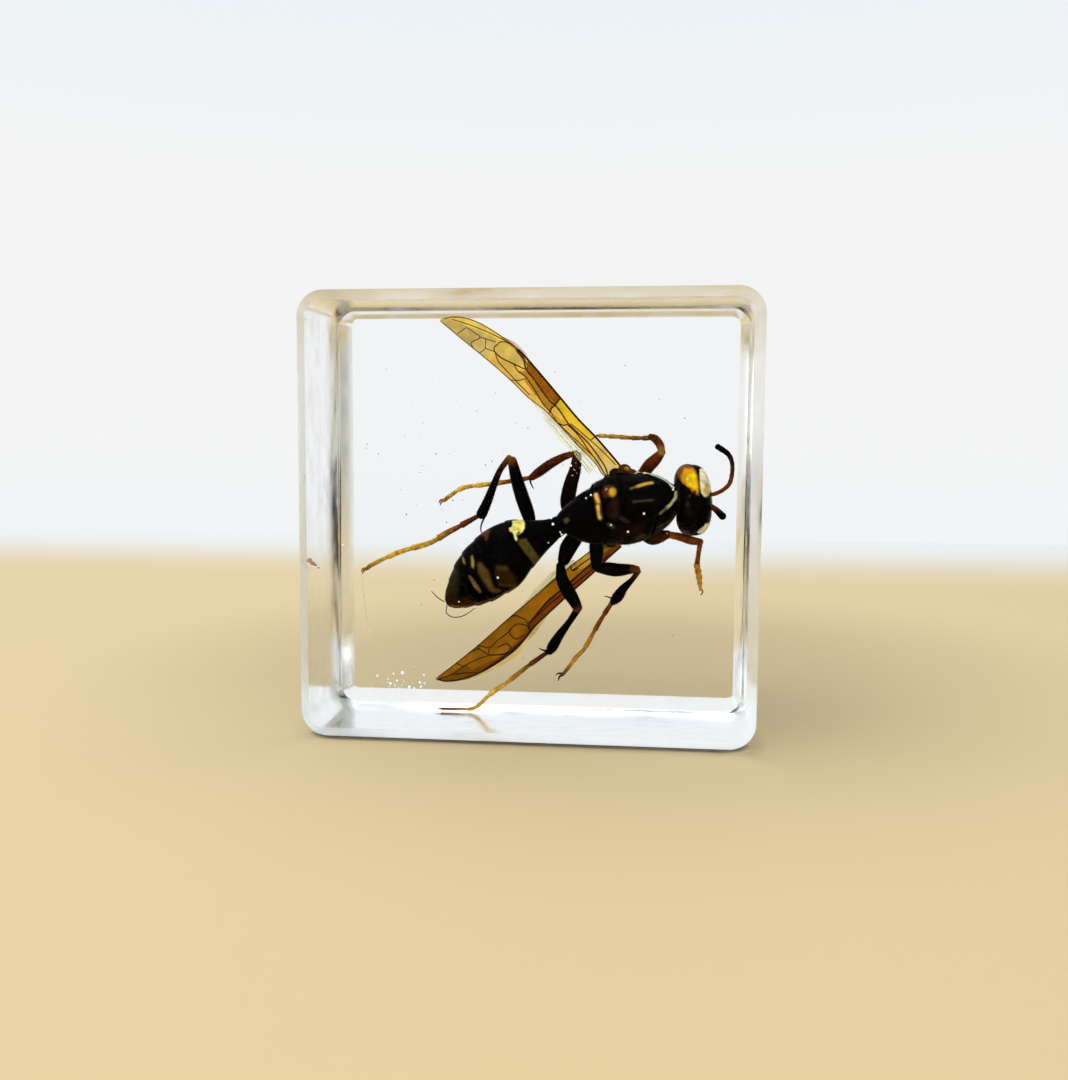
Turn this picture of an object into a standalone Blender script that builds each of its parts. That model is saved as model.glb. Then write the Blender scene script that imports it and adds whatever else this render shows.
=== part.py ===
"""A paper wasp sealed in a clear resin block.

Metres, +Z up. The block stands on its narrow bottom face, centred on the origin,
and its front face looks along -Y. The wasp shows its back to the front face.
"""

import math

import bmesh
import bpy
from mathutils import Matrix, Vector

mm = 0.001

# the resin block: a flat rounded square, polished, with softened edges
block_width = 40.0 * mm
block_depth = 22.0 * mm
block_height = 39.2 * mm
corner_radius = 2.8 * mm
corner_steps = 6
edge_radius = 1.4 * mm
edge_steps = 4

# the block is parted in two by an upright plane through the wasp
parting_y = 0.0
parting_gap = 0.3 * mm
pocket_gap = 0.42 * mm

# the wasp's back leans this far from the front face, towards the top of the block
body_roll = math.radians(18.0)
thorax_centre = Vector((8.1, 0.2, 20.2)) * mm
thorax_heading = math.radians(12.5)
# along the body from the waist to the neck, with the radius there
thorax_profile = [(-5.6, 0.85), (-5.0, 1.5), (-4.2, 2.1), (-3.0, 2.6), (-1.6, 2.95), (0.0, 3.3), (1.2, 3.2),
                  (2.5, 2.95), (3.5, 2.5), (4.3, 1.95), (5.0, 1.3), (5.8, 0.9)]
thorax_height_ratio = 1.06

head_centre = Vector((14.5, 0.2, 21.1)) * mm
head_radii = Vector((1.75, 3.25, 2.7)) * mm
head_heading = math.radians(4.0)

# every limb is a list of (x, y, z, radius) along its middle line, in millimetres
abdomen_line = [
    (3.7, 0.4, 18.9, 0.95), (2.7, 0.6, 18.7, 1.0), (1.3, 0.5, 18.0, 1.25), (-0.3, 0.4, 17.2, 2.2),
    (-1.8, 0.3, 16.2, 3.0), (-3.1, 0.3, 15.35, 3.1), (-4.3, 0.4, 14.2, 2.85), (-5.5, 0.5, 13.15, 2.45),
    (-6.7, 0.7, 12.1, 1.75), (-7.6, 0.9, 11.5, 0.8)]

legs = {
    "left_fore": dict(
        coxa=[(10.5, 2.8, 21.2, 0.56), (9.8, 2.3, 23.2, 0.51)],
        femur=[(10.0, 2.2, 23.4, 0.51), (10.6, 1.7, 24.2, 0.58), (11.2, 1.2, 24.8, 0.51),
               (11.6, 0.8, 25.3, 0.37)],
        tibia=[(11.7, 0.8, 25.4, 0.32), (11.5, 1.4, 26.1, 0.37), (11.1, 2.1, 26.6, 0.37),
               (10.7, 2.6, 26.8, 0.3)],
        foot=[(10.4, 2.7, 26.7, 0.21), (9.0, 3.0, 26.7, 0.19), (6.0, 3.3, 26.9, 0.18)]),
    "left_mid": dict(
        coxa=[(5.9, 3.0, 19.4, 0.65), (4.6, 2.9, 19.4, 0.65), (3.3, 2.7, 19.8, 0.56)],
        femur=[(3.1, 2.6, 19.8, 0.51), (3.1, 2.3, 20.9, 0.69), (3.8, 1.4, 23.7, 0.55),
               (4.0, 1.0, 25.0, 0.41)],
        tibia=[(3.9, 1.0, 25.3, 0.25), (2.7, 1.6, 24.9, 0.35), (0.9, 2.6, 23.9, 0.45),
               (-0.3, 3.3, 23.0, 0.33)],
        foot=[(-0.7, 3.4, 22.9, 0.21), (-3.0, 3.9, 22.5, 0.21), (-5.2, 4.2, 22.2, 0.21),
              (-7.0, 4.5, 21.9, 0.2),
              (-8.6, 4.8, 20.9, 0.17)]),
    "left_hind": dict(
        coxa=[(4.2, 1.6, 18.9, 0.8), (1.6, 2.7, 18.5, 0.62), (-0.1, 2.9, 18.4, 0.51)],
        femur=[(-0.3, 2.8, 18.4, 0.46), (-0.6, 2.5, 19.6, 0.63), (-1.6, 1.7, 22.8, 0.58),
               (-2.0, 1.3, 24.5, 0.44)],
        tibia=[(-2.3, 1.2, 24.8, 0.28), (-3.2, 1.8, 23.6, 0.28), (-3.9, 2.6, 22.1, 0.35),
               (-5.1, 3.9, 19.5, 0.52)],
        foot=[(-5.6, 4.0, 19.2, 0.24), (-8.7, 4.7, 17.5, 0.28), (-10.2, 5.0, 16.6, 0.26),
              (-12.8, 5.3, 15.8, 0.24), (-14.5, 5.5, 15.1, 0.21), (-16.3, 5.7, 14.2, 0.17)]),
    "right_fore": dict(
        coxa=[(9.8, 1.6, 18.3, 0.55), (10.8, 1.5, 17.6, 0.62), (11.5, 1.4, 17.7, 0.62),
              (12.3, 1.4, 17.9, 0.41)],
        femur=[(12.4, 1.4, 17.9, 0.3), (13.5, 1.3, 17.7, 0.37), (14.5, 1.2, 17.4, 0.39),
               (15.3, 1.2, 17.3, 0.3)],
        tibia=[(15.3, 1.3, 17.2, 0.25), (15.2, 1.8, 16.2, 0.21), (15.1, 2.3, 15.2, 0.23)],
        foot=[(15.1, 2.4, 15.0, 0.28), (15.3, 2.8, 14.1, 0.28), (15.5, 3.3, 12.9, 0.2)]),
    "right_mid": dict(
        coxa=[(5.8, 0.6, 17.5, 0.59), (5.9, 0.2, 16.3, 0.64), (5.9, -0.1, 15.0, 0.46)],
        femur=[(6.1, -0.2, 14.8, 0.41), (6.8, -0.3, 14.8, 0.59), (7.8, -0.4, 14.7, 0.61),
               (9.5, -0.5, 14.8, 0.36)],
        tibia=[(9.7, -0.4, 14.6, 0.27), (9.2, 0.2, 13.8, 0.25), (8.4, 0.9, 12.9, 0.39),
               (7.6, 1.7, 11.8, 0.48)],
        foot=[(7.3, 1.9, 11.4, 0.21), (5.7, 3.0, 8.6, 0.21), (4.8, 3.5, 6.9, 0.21), (4.0, 3.8, 6.0, 0.2),
              (2.8, 4.3, 4.4, 0.17)]),
    "right_hind": dict(
        coxa=[(4.0, 1.2, 17.7, 0.74), (3.3, 0.9, 16.6, 0.78), (2.9, 0.6, 15.5, 0.59)],
        femur=[(2.6, 0.4, 14.9, 0.41), (2.8, 0.3, 13.6, 0.59), (3.4, 0.2, 12.5, 0.64),
               (4.2, 0.2, 11.1, 0.46)],
        tibia=[(4.2, 0.3, 10.9, 0.34), (3.4, 1.2, 9.6, 0.3), (2.5, 2.1, 8.3, 0.42), (1.6, 3.0, 6.8, 0.5)],
        foot=[(1.2, 3.2, 6.4, 0.21), (-0.6, 4.0, 5.0, 0.21), (-2.6, 4.9, 3.2, 0.21), (-4.4, 5.7, 1.7, 0.21),
              (-5.8, 6.3, 0.95, 0.19), (-8.8, 6.4, 0.9, 0.16)]),
}

antennae = {
    "left": [(15.7, -0.4, 21.6, 0.18), (16.5, -0.8, 21.8, 0.18), (17.1, -1.1, 22.1, 0.19),
             (17.6, -1.2, 22.7, 0.2), (17.9, -1.2, 23.7, 0.19), (17.9, -1.1, 24.6, 0.19),
             (17.6, -0.8, 25.3, 0.19), (16.8, -0.5, 25.9, 0.2)],
    "right": [(15.7, -0.4, 20.8, 0.18), (16.5, -2.0, 20.3, 0.22), (17.0, -3.8, 19.9, 0.29)],
}

# a folded wing in its own plane: distance out from its root, and across towards the leading edge
wing_outline = [(-1.2, 0.4), (2.0, 1.1), (6.0, 1.5), (10.0, 2.1), (13.5, 2.6), (16.0, 2.4), (18.8, 1.75),
                (20.4, 0.9), (21.0, 0.1), (18.8, -0.15), (14.0, -0.1), (10.0, -0.4), (7.0, -1.0),
                (4.0, -1.35), (1.6, -1.4), (-1.2, -0.6)]
wing_thickness = 0.16 * mm
wings = {
    "left": dict(root=(7.6, 0.2, 23.8), tip=(-8.5, -0.6, 37.2), leading_side=1),
    "right": dict(root=(6.9, 1.6, 16.8), tip=(-9.3, 3.0, 3.6), leading_side=-1),
}

colours = {
    "resin_front": dict(color=(0.97, 0.98, 0.98, 1.0), roughness=0.03, transmission=1.0, ior=1.5),
    "resin_back": dict(color=(0.97, 0.98, 0.98, 1.0), roughness=0.03, transmission=1.0, ior=1.5),
    "wasp": dict(color=(0.035, 0.02, 0.012, 1.0), roughness=0.3, transmission=0.0, ior=1.5),
}


def clear_scene():
    for obj in list(bpy.data.objects):
        bpy.data.objects.remove(obj, do_unlink=True)


def new_collection(name):
    collection = bpy.data.collections.new(name)
    bpy.context.scene.collection.children.link(collection)
    return collection


def add_material(obj, name):
    look = colours[name]
    material = bpy.data.materials.new(name)
    material.use_nodes = True
    shader = material.node_tree.nodes["Principled BSDF"]
    shader.inputs["Base Color"].default_value = look["color"]
    shader.inputs["Roughness"].default_value = look["roughness"]
    shader.inputs["Transmission Weight"].default_value = look["transmission"]
    shader.inputs["IOR"].default_value = look["ior"]
    material.diffuse_color = look["color"]
    obj.data.materials.clear()
    obj.data.materials.append(material)


def mesh_object(name, bm, collection, smooth=True):
    mesh = bpy.data.meshes.new(name)
    bm.normal_update()
    bm.to_mesh(mesh)
    bm.free()
    for polygon in mesh.polygons:
        polygon.use_smooth = smooth
    obj = bpy.data.objects.new(name, mesh)
    collection.objects.link(obj)
    return obj


def make_cutter(obj):
    obj.hide_render = True
    obj.display_type = "WIRE"
    return obj


def curve_to_mesh(curve, name, collection, matrix=Matrix.Identity(4)):
    """The curve's solid as a mesh object with its caps welded on; the curve is removed."""
    source = bpy.data.objects.new(name + "_curve", curve)
    collection.objects.link(source)
    source.matrix_world = matrix
    bpy.context.view_layer.update()
    evaluated = source.evaluated_get(bpy.context.evaluated_depsgraph_get())
    mesh = bpy.data.meshes.new_from_object(evaluated)
    bm = bmesh.new()
    bm.from_mesh(mesh)
    bmesh.ops.remove_doubles(bm, verts=bm.verts, dist=0.0005 * mm)
    bmesh.ops.recalc_face_normals(bm, faces=bm.faces)
    bpy.data.meshes.remove(mesh)
    obj = mesh_object(name, bm, collection)
    obj.matrix_world = source.matrix_world
    bpy.data.objects.remove(source, do_unlink=True)
    bpy.data.curves.remove(curve)
    return obj


def tube(name, points, radii, side_steps, collection, matrix=Matrix.Identity(4)):
    """A round solid along the points, with 4 + 2 * side_steps sides."""
    curve = bpy.data.curves.new(name, "CURVE")
    curve.dimensions = "3D"
    curve.bevel_depth = 1.0
    curve.bevel_resolution = side_steps
    curve.use_fill_caps = True
    spline = curve.splines.new("POLY")
    spline.points.add(len(points) - 1)
    for target, point, radius in zip(spline.points, points, radii):
        target.co = (*point, 1.0)
        target.radius = radius
    return curve_to_mesh(curve, name, collection, matrix)


def round_ended(points, radii, grow):
    """The same line with a short taper past each end, and everything thicker by grow."""
    line = list(points)
    start_way = (line[0] - line[1]).normalized()
    end_way = (line[-1] - line[-2]).normalized()
    first, last = radii[0], radii[-1]
    line.insert(0, line[0] + start_way * (0.7 * first + grow))
    line.append(line[-1] + end_way * (0.7 * last + grow))
    return line, [0.5 * first + grow, *(radius + grow for radius in radii), 0.5 * last + grow]


def limb(name, line, side_steps, grow, collection):
    points = [Vector((x, y, z)) * mm for x, y, z, _ in line]
    radii = [radius * mm for *_, radius in line]
    return make_cutter(tube(name, *round_ended(points, radii, grow), side_steps, collection))


def body_axes(centre, heading, roll):
    """Local +X runs to the head, +Y to the wasp's left and +Z out of its back."""
    forward = Vector((math.cos(heading), 0.0, math.sin(heading)))
    upward = Vector((-math.sin(heading), 0.0, math.cos(heading)))
    viewer = Vector((0.0, -1.0, 0.0))
    back = viewer * math.cos(roll) + upward * math.sin(roll)
    left = back.cross(forward)
    axes = Matrix((forward, left, back)).transposed().to_4x4()
    return Matrix.Translation(centre) @ axes


def thorax(grow, collection):
    points = [Vector((along, 0.0, 0.0)) * mm for along, _ in thorax_profile]
    radii = [radius * mm for _, radius in thorax_profile]
    flatten = Matrix.Diagonal((1.0, 1.0, thorax_height_ratio, 1.0))
    matrix = body_axes(thorax_centre, thorax_heading, body_roll) @ flatten
    return make_cutter(tube("thorax", *round_ended(points, radii, grow), 5, collection, matrix))


def head(grow, collection):
    bm = bmesh.new()
    bmesh.ops.create_uvsphere(bm, u_segments=14, v_segments=9, radius=1.0)
    radii = head_radii + Vector((grow, grow, grow))
    obj = mesh_object("head", bm, collection)
    obj.matrix_world = body_axes(head_centre, head_heading, body_roll) @ Matrix.Diagonal((*radii, 1.0))
    return make_cutter(obj)


def leg(name, shape, grow, collection):
    for part in ("coxa", "femur", "tibia"):
        limb(f"{name}_{part}", shape[part], 2, grow, collection)
    foot = shape["foot"]
    ankle = (*shape["tibia"][-1][:3], foot[0][3])
    limb(f"{name}_foot", [ankle, *foot], 1, grow, collection)


def wing_axes(shape):
    """Local +X runs from root to tip, +Y to the leading edge and Z through the wing."""
    root, tip = Vector(shape["root"]) * mm, Vector(shape["tip"]) * mm
    along = (tip - root).normalized()
    across = Vector((0.0, -1.0, 0.0)).cross(along).normalized() * -shape["leading_side"]
    through = along.cross(across)
    return Matrix.Translation(root) @ Matrix((along, across, through)).transposed().to_4x4()


def wing(name, shape, grow, collection):
    """A thin plate; its own rim widens it by grow all round."""
    curve = bpy.data.curves.new(name, "CURVE")
    curve.dimensions = "2D"
    curve.fill_mode = "BOTH"
    curve.extrude = wing_thickness / 2
    curve.bevel_depth = grow
    curve.bevel_resolution = 0
    spline = curve.splines.new("POLY")
    spline.points.add(len(wing_outline) - 1)
    spline.use_cyclic_u = True
    for target, (along, across) in zip(spline.points, wing_outline):
        target.co = (along * mm, across * mm, 0.0, 1.0)
    make_cutter(curve_to_mesh(curve, f"{name}_wing", collection, wing_axes(shape)))


def wasp_pieces(grow, collection):
    """Every piece of the wasp, thicker by grow, in the collection; the thorax is returned."""
    trunk = thorax(grow, collection)
    head(grow, collection)
    limb("abdomen", abdomen_line, 5, grow, collection)
    for name, shape in legs.items():
        leg(name, shape, grow, collection)
    for name, line in antennae.items():
        limb(f"{name}_antenna", line, 1, grow, collection)
    for name, shape in wings.items():
        wing(name, shape, grow, collection)
    return trunk


def combine(obj, operation, collection):
    modifier = obj.modifiers.new(operation.lower(), "BOOLEAN")
    modifier.operation = operation
    modifier.operand_type = "COLLECTION"
    modifier.collection = collection
    modifier.solver = "EXACT"


def wasp(parts, cutters):
    """One solid: the thorax with every other piece joined to it."""
    trunk = wasp_pieces(0.0, cutters)
    cutters.objects.unlink(trunk)
    parts.objects.link(trunk)
    trunk.hide_render = False
    trunk.display_type = "TEXTURED"
    trunk.name = "wasp"
    add_material(trunk, "wasp")
    combine(trunk, "UNION", cutters)


def block_mesh(name, collection):
    """The whole rounded block, standing on the ground plane."""
    bm = bmesh.new()
    bmesh.ops.create_cube(bm, size=1.0)
    bmesh.ops.scale(bm, verts=bm.verts, vec=(block_width, block_depth, block_height))
    bmesh.ops.translate(bm, verts=bm.verts, vec=(0.0, 0.0, block_height / 2))
    through = [edge for edge in bm.edges if abs((edge.verts[0].co - edge.verts[1].co).y) > block_depth / 2]
    bmesh.ops.bevel(bm, geom=through, offset=corner_radius, segments=corner_steps, profile=0.5, affect="EDGES")
    half = block_depth / 2 - 0.01 * mm
    rims = [edge for edge in bm.edges
            if all(abs(vert.co.y) > half for vert in edge.verts)
            and edge.verts[0].co.y * edge.verts[1].co.y > 0]
    bmesh.ops.bevel(bm, geom=rims, offset=edge_radius, segments=edge_steps, profile=0.5, affect="EDGES")
    block = mesh_object(name, bm, collection)
    for polygon in block.data.polygons:
        polygon.use_smooth = max(abs(share) for share in polygon.normal) < 0.999
    return block


def parting_slab(name, near_side, collection):
    """A box over the far side of the parting plane, seen from the half that is kept."""
    bm = bmesh.new()
    bmesh.ops.create_cube(bm, size=1.0)
    bmesh.ops.scale(bm, verts=bm.verts, vec=(2 * block_width, block_depth, 2 * block_height))
    obj = mesh_object(name, bm, collection, smooth=False)
    away = parting_gap / 2 - block_depth / 2
    obj.location = (0.0, parting_y + near_side * away, block_height / 2)
    return make_cutter(obj)


def resin_half(name, near_side, parts, pocket):
    """Half of the block: near_side is -1 for the front and 1 for the back."""
    half = block_mesh(name, parts)
    add_material(half, name)
    cutters = new_collection(f"{name}_cutters")
    parting_slab(f"{name}_slab", near_side, cutters)
    combine(half, "DIFFERENCE", cutters)
    combine(half, "DIFFERENCE", pocket)


def main():
    clear_scene()
    parts = new_collection("insect_in_resin_block")
    joined = new_collection("wasp_pieces")
    pocket = new_collection("pocket_cutters")
    wasp(parts, joined)
    wasp_pieces(pocket_gap, pocket)
    resin_half("resin_front", -1, parts, pocket)
    resin_half("resin_back", 1, parts, pocket)
    bpy.context.view_layer.update()


main()
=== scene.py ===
import math

import bmesh
import bpy
import numpy as np
from mathutils import Matrix, Vector


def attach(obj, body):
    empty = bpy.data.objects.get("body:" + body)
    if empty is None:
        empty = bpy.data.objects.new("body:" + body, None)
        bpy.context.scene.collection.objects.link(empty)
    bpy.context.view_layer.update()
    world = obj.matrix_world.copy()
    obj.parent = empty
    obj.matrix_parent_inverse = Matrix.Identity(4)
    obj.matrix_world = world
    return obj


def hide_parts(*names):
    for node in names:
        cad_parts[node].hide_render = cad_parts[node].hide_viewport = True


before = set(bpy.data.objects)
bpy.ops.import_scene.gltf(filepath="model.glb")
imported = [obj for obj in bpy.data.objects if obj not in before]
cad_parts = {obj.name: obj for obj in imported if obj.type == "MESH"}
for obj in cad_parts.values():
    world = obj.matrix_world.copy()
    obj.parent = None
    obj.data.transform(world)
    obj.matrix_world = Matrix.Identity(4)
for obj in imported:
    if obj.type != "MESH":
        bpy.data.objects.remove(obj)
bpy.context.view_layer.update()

mm = 0.001
scene = bpy.context.scene


def link(obj):
    scene.collection.objects.link(obj)
    return obj


def addNode(tree, kind, inputs=None, **settings):  # each input is a value or another node's output
    node = tree.nodes.new(kind)
    for name, value in settings.items():
        setattr(node, name, value)
    for name, value in (inputs or {}).items():
        if isinstance(value, bpy.types.NodeSocket):
            tree.links.new(value, node.inputs[name])
        else:
            node.inputs[name].default_value = value
    return node


def newMaterial(name):
    material = bpy.data.materials.new(name)
    material.use_nodes = True
    return material, material.node_tree, material.node_tree.nodes["Principled BSDF"]


stageLook = dict(
    floorColour=(0.72, 0.555, 0.295, 1), farColour=(0.83, 0.83, 0.825, 1), fades=(0.10, 0.20),
    floorLeft=-0.5, floorRight=0.5, floorNear=-0.45, floorFar=0.21, floorRoughness=0.7,
    # the painted shadow line where the block stands: half sizes inside its round corners, their radius, reach
    # and shade
    contactShadow=(0.0168, 0.0077, 0.0), contactShadowCorner=0.0017, contactShadowReach=(0.0004, 0.0014), contactShadowDark=0.15,
    # its soft shade behind, full within the core, which is a share of the size
    shadeAt=(0.006, 0.028, 0.0), shadeSize=(0.075, 0.075, 1.0), shadeCore=0.25, shade=0.76,
    floorDrop=-0.12 * mm,  # a hair of air under the block, so that its base mirrors the light
    # the room's colour by height, from straight down (0) over the horizon (0.5) to straight up (1)
    room=[(0.0, (0.58, 0.44, 0.23)), (0.438, (0.58, 0.44, 0.23)), (0.446, (0.88, 0.90, 0.92)),
          (0.5, (0.90, 0.905, 0.91)), (0.62, (0.90, 0.90, 0.90)), (0.72, (0.82, 0.88, 0.93)),
          (1.0, (0.88, 0.91, 0.94))],
    # how bright it is from the viewer's side (0) to the far side (1)
    reach=[(0.0, (1.9, 1.87, 1.82)), (0.22, (1.5, 1.5, 1.5)), (0.32, (1.0, 1.0, 1.0)), (1.0, (1.0, 1.0, 1.0))],
    # and from the left (0) to the right (1)
    sides=[(0.0, (0.98, 0.96, 0.92)), (0.2, (1.0, 1.0, 1.0)), (0.685, (1.0, 1.0, 1.0)),
           (0.76, (0.72, 0.72, 0.68)), (0.88, (0.55, 0.53, 0.47)), (1.0, (0.50, 0.50, 0.43))],
)


def rampAlong(tree, source, stops):  # colours along a value that runs from -1 to 1
    half = addNode(tree, "ShaderNodeMath", {0: source, 1: 0.5, 2: 0.5}, operation="MULTIPLY_ADD")
    ramp = addNode(tree, "ShaderNodeValToRGB", {0: half.outputs[0]})
    while len(ramp.color_ramp.elements) < len(stops):
        ramp.color_ramp.elements.new(0.5)
    for element, (position, colour) in zip(ramp.color_ramp.elements, stops):
        element.position = position
        element.color = (*colour, 1)
    return ramp.outputs["Color"]


def floorMaterial():
    look = stageLook
    material, tree, shader = newMaterial("paleFloor")
    place = addNode(tree, "ShaderNodeTexCoord").outputs["Object"]
    parts = addNode(tree, "ShaderNodeSeparateXYZ", {0: place})

    def scaled(value, low, high, toLow=0.0, toHigh=1.0):
        spread = {"Value": value, "From Min": low, "From Max": high, "To Min": toLow, "To Max": toHigh}
        return addNode(tree, "ShaderNodeMapRange", spread, interpolation_type="SMOOTHSTEP").outputs["Result"]

    def worked(operation, a, b):
        return addNode(tree, "ShaderNodeMath", {0: a, 1: b}, operation=operation).outputs[0]

    def vectored(operation, a, b=(0, 0, 0)):
        work = addNode(tree, "ShaderNodeVectorMath", {0: a, 1: b}, operation=operation)
        return work.outputs["Value" if operation == "LENGTH" else "Vector"]

    # painted shadows on the floor: a dark contact line round the block's footprint and a soft shade behind it
    past = vectored("SUBTRACT", vectored("ABSOLUTE", place), look["contactShadow"])
    contactShadow = worked("SUBTRACT", vectored("LENGTH", vectored("MAXIMUM", past)), look["contactShadowCorner"])
    contactShadow = scaled(worked("ABSOLUTE", contactShadow, 0.0), *look["contactShadowReach"], look["contactShadowDark"], 1.0)
    away = vectored("DIVIDE", vectored("SUBTRACT", place, look["shadeAt"]), look["shadeSize"])
    shade = scaled(vectored("LENGTH", away), look["shadeCore"], 1.0, look["shade"], 1.0)
    shade = worked("MULTIPLY", contactShadow, shade)
    far = scaled(parts.outputs["Y"], *look["fades"])
    plain = addNode(tree, "ShaderNodeMix", {0: far, 6: look["floorColour"], 7: look["farColour"]},
                    data_type="RGBA")
    darker = addNode(tree, "ShaderNodeVectorMath", {0: plain.outputs[2], "Scale": shade}, operation="SCALE")
    tree.links.new(darker.outputs["Vector"], shader.inputs["Base Color"])
    shader.inputs["Roughness"].default_value = look["floorRoughness"]
    return material


def buildFloor():
    look = stageLook
    corners = [(look["floorLeft"], look["floorNear"]), (look["floorRight"], look["floorNear"]),
               (look["floorRight"], look["floorFar"]), (look["floorLeft"], look["floorFar"])]
    mesh = bpy.data.meshes.new("floor")
    mesh.from_pydata([(x, y, look["floorDrop"]) for x, y in corners], [], [(0, 1, 2, 3)])
    mesh.materials.append(floorMaterial())
    link(bpy.data.objects.new("floor", mesh))


def buildRoom():
    look = stageLook
    world = bpy.data.worlds.new("studio")
    world.use_nodes = True
    scene.world = world
    tree = world.node_tree
    place = addNode(tree, "ShaderNodeTexCoord")
    parts = addNode(tree, "ShaderNodeSeparateXYZ", {0: place.outputs["Generated"]})
    light = rampAlong(tree, parts.outputs["Z"], look["room"])
    for axis, stops in (("Y", look["reach"]), ("X", look["sides"])):
        share = rampAlong(tree, parts.outputs[axis], stops)
        light = addNode(tree, "ShaderNodeVectorMath", {0: light, 1: share}, operation="MULTIPLY").outputs[0]
    tree.links.new(light, tree.nodes["Background"].inputs["Color"])


cameraLook = dict(
    place=(9.907, -96.729, 25.212), yaw=5.984, pitch=-4.840, roll=-0.376,  # in millimetres and degrees
    focalPixels=1021.37, photoHeight=1080, sensor=36.0, clip=(0.001, 10.0),
)


def buildCamera():
    look = cameraLook
    data = bpy.data.cameras.new("camera")
    data.sensor_width = look["sensor"]
    data.lens = look["focalPixels"] / look["photoHeight"] * look["sensor"]
    data.clip_start, data.clip_end = look["clip"]
    camera = link(bpy.data.objects.new("camera", data))
    turn = Matrix.Identity(4)
    for angle, axis in ((look["yaw"], "Z"), (look["pitch"], "X"), (look["roll"], "Y"), (90, "X")):
        turn = turn @ Matrix.Rotation(math.radians(angle), 4, axis)
    camera.matrix_world = Matrix.Translation(Vector(look["place"]) * mm) @ turn
    scene.camera = camera


lampLook = dict(place=(-0.12, -0.06, 0.42), target=(0, 0, 0.02), size=(0.3, 0.25), power=0.5)


def buildLamp():
    look = lampLook
    data = bpy.data.lights.new("overheadLight", "AREA")
    data.shape = "RECTANGLE"
    data.size, data.size_y = look["size"]
    data.energy = look["power"]
    lamp = link(bpy.data.objects.new("overheadLight", data))
    lamp.location = look["place"]
    way = Vector(look["target"]) - Vector(look["place"])
    lamp.rotation_euler = way.to_track_quat("-Z", "Y").to_euler()


scene.view_settings.view_transform = "Standard"
bounces = 24  # light goes back and forth in the block's rims
scene.cycles.max_bounces = scene.cycles.glossy_bounces = scene.cycles.transmission_bounces = bounces
scene.cycles.blur_glossy = 0.0
buildFloor()
buildRoom()
buildCamera()
buildLamp()
print("stage, light and camera are in place")

blockShape = dict(
    width=40.0, depth=22.0, height=39.2,
    frontCorner=2.4, backCorner=1.7, cornerSteps=18,  # the corners are tighter behind, where it was ground flat
    # rims, from the flat face out to the walls: width of each arc and the slopes it runs between
    frontRim=[(1.1, 20.0, 90.0)], frontSand=1.3,  # a sanded rounding with a crease
    backRims=dict(right=[(0.7, 50.0, 56.0), (0.2, 56.0, 90.0)], top=[(0.66, 26.0, 34.0), (0.2, 34.0, 90.0)],
                  left=[(1.0, 50.0, 56.0), (0.2, 56.0, 90.0)], bottom=[(1.2, 26.0, 34.0), (0.2, 34.0, 90.0)]),
    backSand=0.32, wallSand=0.32, sandFade=2.5,  # the sanding in front fades towards the walls
    rimSteps=16,
    tint=(1.0, 1.0, 1.0, 1), refraction=1.5, gloss=(0.02, 0.02, 0.02, 1), absorbed=(0.5, 0.78, 0.96, 1),
    absorption=2.0, sandScale=420.0,
)


def resinMaterial():
    look = blockShape
    material, tree, shader = newMaterial("clearResin")
    shader.inputs["Base Color"].default_value = look["tint"]
    shader.inputs["Transmission Weight"].default_value = 1.0
    shader.inputs["IOR"].default_value = look["refraction"]
    shader.inputs["Specular Tint"].default_value = look["gloss"]
    place = addNode(tree, "ShaderNodeTexCoord")
    cloud = addNode(tree, "ShaderNodeTexNoise", {"Vector": place.outputs["Object"], "Scale": look["sandScale"],
                                                 "Detail": 2.0})
    sanded = addNode(tree, "ShaderNodeAttribute", attribute_name="sanded")
    rough = addNode(tree, "ShaderNodeMath", {0: cloud.outputs["Fac"], 1: sanded.outputs["Fac"]},
                    operation="MULTIPLY")
    tree.links.new(rough.outputs[0], shader.inputs["Roughness"])
    absorb = addNode(tree, "ShaderNodeVolumeAbsorption")
    absorb.inputs["Color"].default_value = look["absorbed"]
    absorb.inputs["Density"].default_value = look["absorption"]
    tree.links.new(absorb.outputs[0], tree.nodes["Material Output"].inputs["Volume"])
    return material


def rimRows(arcs, face, outward):  # rings of a rim: y, how far in from the walls, the normal's share along y
    y, inset, rows = face, sum(width for width, _, _ in arcs), []
    for width, start, end in arcs:
        slopes = np.radians(np.linspace(start, end, blockShape["rimSteps"] + 1))
        radius = width / (math.sin(slopes[-1]) - math.sin(slopes[0]))
        arc = [(y - outward * radius * (math.cos(slopes[0]) - math.cos(slope)),
                inset - radius * (math.sin(slope) - math.sin(slopes[0])),
                outward * math.cos(slope)) for slope in slopes]
        rows += arc if not rows else arc[1:]
        y, inset = rows[-1][:2]
    return rows


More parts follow.
